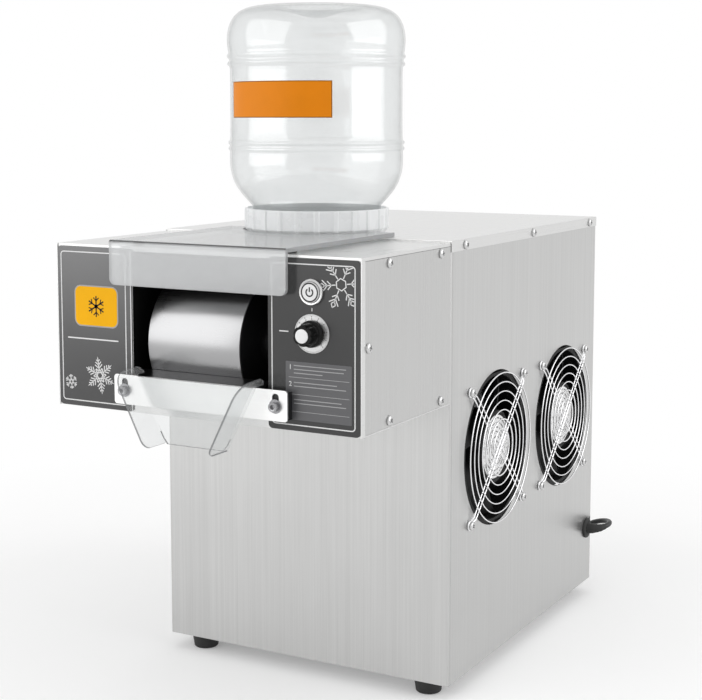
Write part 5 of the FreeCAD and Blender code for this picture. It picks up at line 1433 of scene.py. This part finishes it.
    def right(self) -> None:
        """Right fascia: border, pointer, thin snowflake and the plain instruction block."""
        node = "right_fascia"
        low, high = box_of(node)
        top = (high.x - self.inset[0] - 1.0 * MM, high.z - self.inset[1])
        border = self.frame_line((low.x + 3.6 * MM, low.z + self.inset[1]), top)
        dial_x, dial_top = face_of("speed_dial")[0].x, box_of("speed_dial")[1].z
        pointer = self.shape(stroke_loop((dial_x, dial_top + 2.2 * MM), (dial_x, dial_top + 5.0 * MM),
                                         0.8 * MM))
        dashes = [self.shape(bar_loop((low.x + start * MM, height - 0.5 * MM),
                                      (low.x + end * MM, height + 0.5 * MM)))
                  for start, end, height in ((11.5, 18.5, 0.4085), (11.5, 20.5, 0.3728))]
        flake = self.snowflake("line_flake", self.line_arm(21.5 * MM, 0.9 * MM),
                               (high.x - 18 * MM, high.z - 20.5 * MM), (5.6 * MM, 4.6 * MM),
                               math.radians(-24))
        flake = self.clipped(flake, top[0] - 1.4 * MM, top[1] - 1.4 * MM)
        self.lay("right_fascia_lines", [border, pointer, *dashes], node, PRINT_WHITE)
        self.lay("right_fascia_flake", [flake], node, PRINT_WHITE)
        self.instructions((low.x + 17.6 * MM, 0.2975), (min(low.x + 81.6 * MM, top[0] - 2.4 * MM), 0.3475))

    def build(self) -> None:
        """Print both fascias."""
        self.left()
        self.right()


# ------------------------------------------------------------------ drum and scraper
@dataclass
class FreezingDrum:
    """Polished sleeve and black end caps, turned fine enough for clean reflections."""

    segments: int = 192
    wall: float = 1.5 * MM
    ease: float = 0.5 * MM
    hub: float = 20 * MM
    bore: float = 7.45 * MM
    plug: float = 6 * MM

    def build(self) -> None:
        """Turn the sleeve and caps about the drum's own axis."""
        low, high = box_of("drum_sleeve")
        centre = (low + high) / 2
        radius, half = (high.z - low.z) / 2, (high.x - low.x) / 2
        edge = [(radius - self.wall, half), (radius - self.ease, half),
                (radius - self.ease * 0.3, half - self.ease * 0.3), (radius, half - self.ease)]
        profile = [(ring, -height) for ring, height in edge] + [(radius, 0.0), *reversed(edge)]
        axis = Facing.RIGHT.at(centre)
        add_turned("polished_drum", profile, self.segments, axis, DRUM_MIRROR, "drum",
                   ("drum_sleeve",))
        low, high = box_of("drum_end_caps")
        inner, hub, bore = radius - self.wall, self.hub, self.bore
        caps: list[Mesh] = []
        for side, reach in ((1.0, high.x - centre.x), (-1.0, centre.x - low.x)):
            section = [(bore, half - self.plug), (inner, half - self.plug), (inner, half - 0.4 * MM),
                       (inner - 0.4 * MM, half), (inner - 5 * MM, half), (inner - 6 * MM, half - 1.2 * MM),
                       (hub + 5 * MM, half - 1.2 * MM), (hub + 1.5 * MM, half), (hub, half + 1.5 * MM),
                       (hub, reach - 0.6 * MM), (hub - 0.6 * MM, reach), (bore, reach)]
            caps.append(to_mesh(turned([(ring, side * height) for ring, height in section], 96), axis))
        add_piece("drum_caps", joined(caps), BLACK_MOULDING, "drum", ("drum_end_caps",),
                  30.0)


@dataclass
class Scraper:
    """Bright bar with keyholes, its black block, the blade and two hex socket screws."""

    head_radius: float = 4.25 * MM
    key_radius: float = 2.3 * MM
    key_depth: float = 2.6 * MM
    washer: float = 6.2 * MM
    shank: float = 2.5 * MM
    corner: float = 3.0 * MM
    hole: float = 5.2 * MM
    slot: float = 3.2 * MM
    slot_rise: float = 7.6 * MM

    def bar(self, centres: Sequence[float], height: float) -> None:
        """Plate with rounded corners and a keyhole, narrow end up, at each screw's X, all at one Z."""
        low, high = box_of("scraper_bar")
        loops = [rounded_loop((low.x, low.z), (high.x, high.z), self.corner)]
        meet = math.asin(self.slot / self.hole)
        for x in centres:
            loops.append(arc_points(self.slot, 0.0, math.pi, 12, x, height + self.slot_rise)
                         + arc_points(self.hole, math.pi / 2 + meet, math.pi * 5 / 2 - meet, 30, x, height))
        mesh = flat_shape(loops, high.y - low.y)
        mesh.transform(Facing.FRONT.at((0.0, high.y, 0.0)))
        mesh.materials.append(BAR_STEEL.material())
        add_piece("scraper_bar_plate", eased(mesh, 0.3 * MM), None, "cabinet",
                  ("scraper_bar",), None)

    def screw(self, centre: Vector, face: float, back: float) -> Mesh:
        """One socket screw with its washer.

        Args:
            centre: The screw's middle on the bar.
            face: How far the head stands in front of the bar.
            back: How far the shank runs behind it.

        Returns:
            The screw in place.
        """
        washer, head, shank, ease, lip = self.washer, self.head_radius, self.shank, 0.35 * MM, face - 0.2 * MM
        body = turned([(0.0, -back), (shank, -back), (shank, 0.0), (washer, 0.0), (washer, 0.7 * MM),
                       (washer - 0.3 * MM, 1.0 * MM), (head, 1.0 * MM), (head, face - ease),
                       (head - ease, face), (self.key_radius * 1.12, face), (self.key_radius, lip)], 60)
        mouth = [vertex for vertex in body.verts if abs(vertex.co.z - lip) < 1e-7]
        for vertex in mouth:
            angle = math.atan2(vertex.co.y, vertex.co.x) % (math.pi / 3) - math.pi / 6
            reach = self.key_radius * math.cos(math.pi / 6) / math.cos(angle)
            vertex.co.xy = vertex.co.xy.normalized() * reach
        ring = sorted(mouth, key=lambda vertex: math.atan2(vertex.co.y, vertex.co.x))
        floor = [body.verts.new((vertex.co.x, vertex.co.y, face - self.key_depth)) for vertex in ring]
        for step in range(len(ring)):
            after = (step + 1) % len(ring)
            body.faces.new((ring[step], ring[after], floor[after], floor[step]))
        body.faces.new(floor)
        return to_mesh(body, Facing.FRONT.at(centre))

    def build(self) -> None:
        """Dress the bar and its fixings."""
        refined("scraper_block", "scraper_black_block", BLACK_MOULDING, 0.5 * MM)
        refined("scraper_blade", "ground_blade", BLADE_STEEL, 0.1 * MM)
        low, high = box_of("scraper_screws")
        front = box_of("scraper_bar")[0].y
        middle = (low.z + high.z) / 2
        centres = [low.x + self.washer, high.x - self.washer]
        self.bar(centres, middle)
        screws = [self.screw(Vector((x, front, middle)), front - low.y, high.y - front) for x in centres]
        add_piece("socket_screws", joined(screws), CAP_SCREW_STEEL, "cabinet",
                  ("scraper_screws",),
                  30.0)


# ------------------------------------------------------------------ clear parts and bottle
@dataclass
class ClearParts:
    """Clear chute and splash cover whose eased edges catch the light and carry painted grey shade, with
    painted dark shade along the cover's bend.
    """

    chute_sheet: float = 2.0 * MM
    cover_sheet: float = 4.0 * MM
    # width of the painted dark shade along the cover's bend
    crease_reach: float = 2.6 * MM

    def build(self) -> None:
        """Ease the sheets, give their edges a grey film of painted shade, and lay painted dark shade along
        the cover's bend.
        """
        refined("chute", "clear_chute", CHUTE_CLEAR, 0.3 * MM, EDGE_CLEAR, self.chute_sheet)
        low, high = box_of("top_cover")
        # painted dark shade along the cover's bend, at its front top corner
        cover = ClearSheet("cover_clear_sheet", 0.38, 0.1, crease=(low.y, high.z),
                           crease_reach=self.crease_reach)
        refined("top_cover", "clear_cover", cover, 0.4 * MM, COVER_EDGE, self.cover_sheet)


@dataclass
class WaterBottle:
    """Inverted bottle with two ribbed bands and a punt, fluted cap and plain orange sticker."""

    wall: float = 1.6 * MM
    segments: int = 160
    flats: int = 24
    spout: float = 14 * MM
    label_low: float = 0.5523
    label_high: float = 0.5865
    label_half_angle: float = 0.70
    label_radius: float = 84.15 * MM
    label_film: float = 0.25 * MM
    label_steps: int = 40
    profile: tuple[Flat, ...] = (
        (63, 446), (63, 465.5), (64.8, 468.5), (70, 474.5), (76, 482), (80.6, 490), (83.5, 499),
        (84.6, 508), (84.7, 516), (84.5, 519.8), (85.9, 521.6), (86, 523.2), (84.9, 524.8), (84.9, 526.2),
        (86, 527.6), (86, 529.4), (84.4, 531.4), (84.1, 540), (84, 550), (84, 570), (84, 590),
        (84.1, 598), (84.5, 601.5), (86.3, 603.2), (86.4, 605), (85.1, 606.8), (85.1, 608.6), (86.6, 610.4),
        (86.8, 612.4), (85.6, 614.8), (86.3, 619), (86.8, 626), (86.4, 633), (84.8, 640.5), (81.5, 647.5),
        (76.5, 653), (69, 657), (60, 659), (50, 659.6), (42, 659.4), (33, 658), (22, 655),
        (12, 652), (6, 650.8), (3, 650.4), (0, 650.3))

    def build(self) -> None:
        """Turn the bottle and cap and stick the label on."""
        low, high = box_of("water_bottle")
        middle = (low + high) / 2
        axis = Matrix.Translation((middle.x, middle.y, 0.0))
        outer = smooth_profile([(radius * MM, height * MM) for radius, height in self.profile], 3)
        add_turned("clear_bottle", walled(outer, self.wall), self.segments, axis, BOTTLE_CLEAR, "bottle",
                   ("water_bottle",), 60.0)
        self.cap(axis)
        self.label(middle)

    def cap(self, axis: Matrix) -> None:
        """Screw cap with flats round it, a bevelled lower rim and the outlet spout."""
        low, high = box_of("bottle_cap")
        radius, top, bottom, spout = (high.x - low.x) / 2, high.z, low.z, self.spout
        base = box_of("top_lid")[1].z
        throat = radius - 2.5 * MM
        section = [(0.0, bottom), (spout - 1 * MM, bottom), (spout, bottom + 1 * MM), (spout, base),
                   (radius - 5 * MM, base + 0.2 * MM), (radius - 1.2 * MM, base + 4 * MM),
                   (radius, base + 6 * MM),
                   (radius, base + 14 * MM), (radius, top - 1.6 * MM), (radius - 0.5 * MM, top - 0.4 * MM),
                   (radius - 1.2 * MM, top), (throat, top), (throat, base + 6 * MM), (0.0, base + 6 * MM)]
        step = math.tau / self.flats

        def flat_side(ring: float, height: float, angle: float) -> float:
            """Flatten the wide rings into the cap's flats, with a raised seam between two."""
            if ring < radius - 6 * MM or ring <= throat + 1e-6:
                return ring
            off = (angle % step) - step / 2
            if abs(abs(off) - step / 2) < step * 0.1:
                return ring
            return (ring - 0.8 * MM) * math.cos(step / 2) / math.cos(off)

        add_turned("fluted_cap", section, self.flats * 12, axis, CAP_MILKY, "bottle",
                   ("bottle_cap",), 9.0, flat_side)

    def label(self, middle: Vector) -> None:
        """A thin curved sticker on the bottle's front."""
        half, near, far = self.label_half_angle, self.label_radius, self.label_radius + self.label_film
        front = -math.pi / 2
        bm = bmesh.new()
        rings = []
        for reach, height in ((near, self.label_low), (near, self.label_high), (far, self.label_high),
                              (far, self.label_low)):
            arc = arc_points(reach, front - half, front + half, self.label_steps, middle.x, middle.y)
            rings.append([bm.verts.new((x, y, height)) for x, y in arc])
        for first, second in zip(rings, rings[1:] + rings[:1]):
            for step in range(self.label_steps):
                bm.faces.new((first[step], first[step + 1], second[step + 1], second[step]))
        for end in (0, -1):
            bm.faces.new([ring[end] for ring in rings])
        finish = StickerFilm("orange_sticker", self.label_low, self.label_high, (middle.x, middle.y), half)
        add_piece("plain_sticker", to_mesh(bm), finish, "bottle")


# ------------------------------------------------------------------ controls
@dataclass
class Controls:
    """Power button with its bezel, the numbered dial and the fluted knob."""

    ticks: int = 11
    sweep: float = 270.0
    knob_flutes: int = 6
    flute_depth: float = 0.9 * MM
    knob_stand: float = 17.0 * MM
    knob_disc: float = 6.0 * MM
    print_film: float = 0.06 * MM
    sign_film: float = 0.12 * MM
    sign_gap: float = math.radians(36)

    def bezel(self) -> None:
        """Bright ring on the fascia with a barrel through it."""
        centre, ring, back = face_of("button_bezel")
        depth = box_of("right_fascia")[0].y - centre.y
        barrel, inside, ledge = 8.9 * MM, 8.8 * MM, 7.1 * MM
        section = [(ledge, -back), (barrel, -back), (barrel, -depth), (ring, -depth), (ring, -0.9 * MM),
                   (ring - 0.25 * MM, -0.35 * MM), (ring - 0.8 * MM, 0.0), (inside + 0.9 * MM, -0.05 * MM),
                   (inside + 0.35 * MM, -0.25 * MM), (inside, -0.7 * MM), (inside, -depth), (ledge, -depth)]
        add_turned("bezel_ring", section, 96, Facing.FRONT.at(centre), SCREW_STEEL, "cabinet",
                   ("button_bezel",), 35.0)

    def button(self) -> None:
        """Button cap with a groove, the dark ring in it and the power sign."""
        centre, radius, reach = face_of("power_button")
        place = Facing.FRONT.at(centre)
        groove = [(8.3 * MM, 0.0), (8.2 * MM, -0.35 * MM), (7.15 * MM, -0.35 * MM), (7.05 * MM, 0.0)]
        section = [(0.0, -reach), (7.0 * MM, -reach), (7.0 * MM, -1.9 * MM), (radius, -1.9 * MM),
                   (radius, -0.3 * MM), (radius - 0.1 * MM, -0.1 * MM), (radius - 0.2 * MM, 0.0), *groove,
                   (0.0, 0.0)]
        add_turned("button_cap", section, 96, place, WHITE_MOULDING, "button",
                   ("power_button",))
        inlay = flat_shape([ring_loop(8.25 * MM, 72), ring_loop(7.1 * MM, 72)], 0.34 * MM)
        inlay.transform(Matrix.Translation((0.0, 0.0, -0.35 * MM)))
        start, end = math.pi / 2 - self.sign_gap, self.sign_gap - math.pi * 3 / 2
        arc = arc_points(3.8 * MM, start, end, 40) + arc_points(2.65 * MM, end, start, 40)
        stroke = bar_loop((-0.58 * MM, 0.4 * MM), (0.58 * MM, 4.4 * MM))
        mesh = joined([inlay, flat_shape([arc], self.sign_film), flat_shape([stroke], self.sign_film)])
        mesh.transform(place)
        add_piece("power_sign", mesh, PRINT_DARK, "button")

    def dial(self) -> None:
        """Silver plate with ticks set out by Geometry Nodes and plain numbers."""
        centre, radius, thick = face_of("speed_dial")
        section = [(4.5 * MM, -thick), (radius, -thick), (radius, -0.3 * MM), (radius - 0.3 * MM, 0.0),
                   (radius - 0.9 * MM, 0.0), (radius - 1.1 * MM, -0.15 * MM), (radius - 1.4 * MM, -0.15 * MM),
                   (radius - 1.6 * MM, 0.0), (4.5 * MM, 0.0)]
        place = Facing.FRONT.at(centre)
        add_turned("dial_plate", section, 120, place, DIAL_SILVER, "cabinet", ("speed_dial",))
        sweep = math.radians(self.sweep)
        start, step = math.pi / 2 + sweep / 2, sweep / (self.ticks - 1)
        tick = flat_shape([bar_loop((radius - 2.7 * MM, -0.3 * MM), (radius - 1.7 * MM, 0.3 * MM))],
                          self.print_film)
        recipe = Recipe("dial_ticks", Ticks=self.ticks)
        ticks = recipe.build(recipe.around("Ticks", -step), tick, PRINT_DARK)
        ticks.transform(Matrix.Rotation(start, 4, "Z"))
        places = arc_points(radius - 4.2 * MM, start, start - sweep, self.ticks - 1)
        figures = [flat_text(str(index), 2.6 * MM, self.print_film, x, y) for index,
                   (x, y) in enumerate(places)]
        mesh = joined([ticks, *figures])
        mesh.transform(place)
        add_piece("dial_marks", mesh, PRINT_DARK, "cabinet")

    def knob(self) -> None:
        """Black knob with flutes that fade towards its skirt, and its white cap."""
        centre, radius, reach = face_of("speed_knob")
        front = self.knob_stand
        stand = box_of("right_fascia")[0].y - front
        reach -= stand - centre.y
        centre.y = stand
        section = [(0.0, -reach), (3.0 * MM, -reach), (3.0 * MM, 3.6 * MM - front),
                   (5.3 * MM, 3.6 * MM - front),
                   (5.3 * MM, 1.3 * MM - front)]
        section += [(radius - inward * MM, up * MM - front) for inward, up in (
            (0.3, 1.3), (0.0, 1.7), (0.0, 3.6), (0.5, 4.4), (1.5, 5.0), (1.7, 9.0))]
        section += [(radius - 2.0 * MM, -8.0 * MM), (radius - 2.5 * MM, -1.2 * MM),
                    (radius - 2.8 * MM, -0.4 * MM),
                    (radius - 3.3 * MM, 0.0), (0.0, 0.0)]
        body_back = 4.7 * MM - front

        def fluted(ring: float, height: float, angle: float) -> float:
            """Press the flutes into the knob's grip."""
            if height < body_back or ring < radius - 4.0 * MM:
                return ring
            depth = self.flute_depth * min((height - body_back) / (3 * MM), 1.0)
            return ring - depth * max(math.cos(self.knob_flutes * angle), 0.0) ** 1.5

        add_turned("fluted_knob", section, 144, Facing.FRONT.at(centre), KNOB_BLACK, "knob",
                   ("speed_knob",), 32.0, fluted)
        disc, thick = self.knob_disc, face_of("knob_cap")[2]
        centre.y -= thick
        section = [(0.0, -thick), (disc, -thick), (disc, -0.6 * MM), (disc - 0.25 * MM, -0.22 * MM),
                   (disc - 0.8 * MM, -0.04 * MM), (disc * 0.5, 0.0), (0.0, 0.0)]
        add_turned("white_knob_cap", section, 72, Facing.FRONT.at(centre), WHITE_MOULDING, "knob",
                   ("knob_cap",), 35.0)

    def build(self) -> None:
        """Make the controls."""
        self.bezel()
        self.button()
        self.dial()
        self.knob()


# ------------------------------------------------------------------ fans
@dataclass
class CoolingFan:
    """One fan: frame, bladed rotor with a silver hub label, and the wire guard."""

    name: str
    rings: int = 7
    first_ring: float = 19.0 * MM
    ring_step: float = 9.3 * MM
    wire: float = 1.3 * MM
    ring_wire: float = 0.65 * MM
    spoke_wire: float = 0.85 * MM
    pair: float = 3.1 * MM
    stand: float = 5.4 * MM
    eyelet: float = 4.4 * MM
    screw_spacing: float = 130.0 * MM
    hub: float = 37.0 * MM
    hub_inset: float = 0.9 * MM
    blades: int = 7
    blade_half: float = 0.8 * MM
    blade_rows: int = 8
    blade_steps: int = 6

    def wires(self) -> Mesh:
        """Lines of the crossed wire pairs and of the eyelets at their ends."""
        half = self.screw_spacing / 2 * math.sqrt(2)
        under = self.stand - 1.6 * self.wire
        corners: list[Point] = []
        edges: list[tuple[int, int]] = []
        for turn in (math.radians(45), math.radians(135)):
            cosine, sine = math.cos(turn), math.sin(turn)
            for across in (-self.pair, self.pair):
                ends = [(half - 4 * MM, across * 0.5, self.wire), (half - 9 * MM, across * 0.8, under),
                        (half - 22 * MM, across, under)]
                route = [(-u, v, w) for u, v, w in ends] + ends[::-1]
                first = len(corners)
                corners += [(u * cosine - v * sine, u * sine + v * cosine, w) for u, v, w in route]
                edges += [(index, index + 1) for index in range(first, len(corners) - 1)]
            for end in (-half, half):
                first = len(corners)
                loop = arc_points(self.eyelet, 0.0, math.tau, 20, end * cosine, end * sine)[:-1]
                corners += [(x, y, self.wire) for x, y in loop]
                edges += [(index, index + 1) for index in range(first, len(corners) - 1)]
                edges.append((len(corners) - 1, first))
        return point_mesh(corners, edges)

    def guard(self, centre: Vector) -> None:
        """Rings, crossed wire pairs and eyelets, swept by Geometry Nodes, on the panel's face."""
        recipe = Recipe(self.name + "_guard", Rings=self.rings, First=self.first_ring, Step=self.ring_step,
                        Wire=self.spoke_wire, Fine=self.ring_wire, Stand=self.stand)
        index = recipe.node("GeometryNodeInputIndex")
        radius = recipe.maths("ADD", recipe.size("First"),
                              recipe.maths("MULTIPLY", index, recipe.size("Step")))
        lift = recipe.vector(Z=recipe.size("Stand"))
        points = recipe.node("GeometryNodePoints", {"Count": recipe.size("Rings"), "Position": lift})
        circle = recipe.node("GeometryNodeCurvePrimitiveCircle", {"Resolution": 96, "Radius": 1.0},
                             mode="RADIUS")
        circles = recipe.on_points(points, circle, Scale=recipe.vector(X=radius, Y=radius, Z=radius))
        loops = recipe.node("GeometryNodeRealizeInstances", {0: circles})
        lines = recipe.node("GeometryNodeMeshToCurve", {"Mesh": recipe.size()})
        swept = []
        for line, thick in ((loops, recipe.size("Fine")), (lines, recipe.size("Wire"))):
            section = recipe.node("GeometryNodeCurvePrimitiveCircle", {"Resolution": 10, "Radius": thick},
                                  mode="RADIUS")
            swept.append(recipe.node("GeometryNodeCurveToMesh", {"Curve": line, "Profile Curve": section,
                                                                 "Fill Caps": True}))
        shape = recipe.node("GeometryNodeJoinGeometry", {"Geometry": swept})
        mesh = recipe.build(shape, self.wires(), WIRE_CHROME)
        mesh.transform(Facing.RIGHT.at(centre))
        add_piece(self.name + "_wire_guard", mesh, None, "cabinet", (self.name + "_guard",),
                  60.0)

    def blade(self, depth: float, reach: float) -> Mesh:
        """One swept and cambered blade, from the hub to its tip's reach, in a hub of some depth."""
        rows, steps, root = self.blade_rows, self.blade_steps, self.hub - 1.0 * MM
        bm = bmesh.new()
        sides: list[list[list[bmesh.types.BMVert]]] = []
        for lift in (self.blade_half, -self.blade_half):
            side = []
            for row in range(rows + 1):
                part = row / rows
                radius = root + (reach - root) * part
                chord = (27 + 12 * part) * MM
                pitch, lean = math.radians(48 - 16 * part), math.radians(10) * part * part
                line = []
                for step in range(steps + 1):
                    share = step / steps - 0.5
                    camber = 2.2 * MM * (1 - (2 * share) ** 2)
                    along = chord * share * math.cos(pitch) - camber * math.sin(pitch)
                    rise = chord * share * math.sin(pitch) * 0.62 + camber * math.cos(pitch)
                    angle = lean + along / radius
                    line.append(bm.verts.new((radius * math.cos(angle), radius * math.sin(angle),
                                              rise - depth / 2 + lift)))
                side.append(line)
            sides.append(side)
        top, low = sides
        for side in sides:
            for row in range(rows):
                for step in range(steps):
                    bm.faces.new((side[row][step], side[row][step + 1], side[row + 1][step + 1],
                                  side[row + 1][step]))
        for row in range(rows):
            for step in (0, steps):
                bm.faces.new((top[row][step], top[row + 1][step], low[row + 1][step], low[row][step]))
        for row in (0, rows):
            for step in range(steps):
                bm.faces.new((top[row][step], top[row][step + 1], low[row][step + 1], low[row][step]))
        return to_mesh(bm)

    def rotor(self, centre: Vector, front: float) -> None:
        """Hub with a rounded face at an X, swept blades and the silver label."""
        low, high = box_of(self.name + "_rotor")
        depth, hub = high.x - low.x, self.hub
        axis = Facing.RIGHT.at((front, centre.y, centre.z))
        section = [(0.0, -depth), (hub, -depth), (hub, -2.0 * MM), (hub - 0.6 * MM, -0.6 * MM),
                   (hub - 2.0 * MM, 0.0), (hub - 4.5 * MM, 0.0), (hub - 5.0 * MM, -0.4 * MM),
                   (0.0, -0.4 * MM)]
        recipe = Recipe(self.name + "_blades", Blades=self.blades)
        blade = self.blade(depth, (high.z - low.z) / 2)
        blades = recipe.build(recipe.around("Blades", math.tau / self.blades), blade, FAN_BLACK)
        mesh = joined([to_mesh(turned(section, 96)), blades])
        mesh.transform(axis)
        add_piece(self.name + "_blades", mesh, FAN_BLACK, self.name,
                  (self.name + "_rotor",), 35.0)
        disc = [(0.0, -0.4 * MM), (31.8 * MM, -0.4 * MM), (31.8 * MM, -0.15 * MM), (31.6 * MM, -0.1 * MM),
                (0.0, -0.1 * MM)]
        add_turned(self.name + "_hub_label", disc, 72, axis,
                   RingedLabel(self.name + "_hub_silver", tuple(centre)),
                   self.name, angle=35.0)

    def build(self) -> None:
        """Make the fan's pieces from its CAD boxes."""
        low, high = box_of(self.name + "_guard")
        face = box_of("right_side_panel")[1].x
        centre = Vector((face, (low.y + high.y) / 2, (low.z + high.z) / 2))
        self.guard(centre)
        self.rotor(centre, face - self.hub_inset)
        refined(self.name + "_frame", self.name + "_housing", FAN_BLACK, 0.4 * MM)


# ------------------------------------------------------------------ inside
@dataclass
class Insides:
    """Finishes of the CAD parts that stay as they are, most of them inside."""

    dressing: dict[Finish, str] = field(default_factory=lambda: {
        SCREW_STEEL: "foot_screws drum_bearings rotary_joint board_standoffs", CHAMBER_BLACK: "drum_chamber",
        SHAFT_STEEL: "drum_shaft", COPPER: "evaporator_coil refrigerant_lines",
        GEAR_NYLON: "drum_gear motor_pinion",
        MOTOR_GREY: "gear_motor", TRAY_STEEL: "motor_bracket", WHITE_MOULDING: "milk_trough bottle_seat",
        SILICONE: "feed_tube", BLACK_RUBBER: "cover_pads compressor_mounts", BLACK_MOULDING: "speed_control",
        FinPack("condenser_fins"): "condenser", CAN_BLACK: "compressor",
        CircuitBoard("green_board"): "control_board"})

    def build(self) -> None:
        """Put each finish in its nodes' material slots."""
        for finish, nodes in self.dressing.items():
            for node in nodes.split():
                thing = frame["nodes"][node]
                if not thing.material_slots:
                    thing.data.materials.append(finish.material())
                for each in thing.material_slots:
                    each.link = "OBJECT"
                    each.material = finish.material()


def main() -> None:
    """Build every sub-assembly in order and report it."""
    logging.basicConfig(level=logging.INFO, format="%(name)s: %(message)s")
    builders = [Studio(), MainsLead(), SheetMetal(), PanScrews(), Printing(), FreezingDrum(), Scraper(),
                ClearParts(), WaterBottle(), Controls(), CoolingFan("front_fan"), CoolingFan("rear_fan"),
                Insides()]
    for builder in builders:
        builder.build()
        log.info("built %s", getattr(builder, "name", type(builder).__name__))


if __name__ == "__main__":
    main()
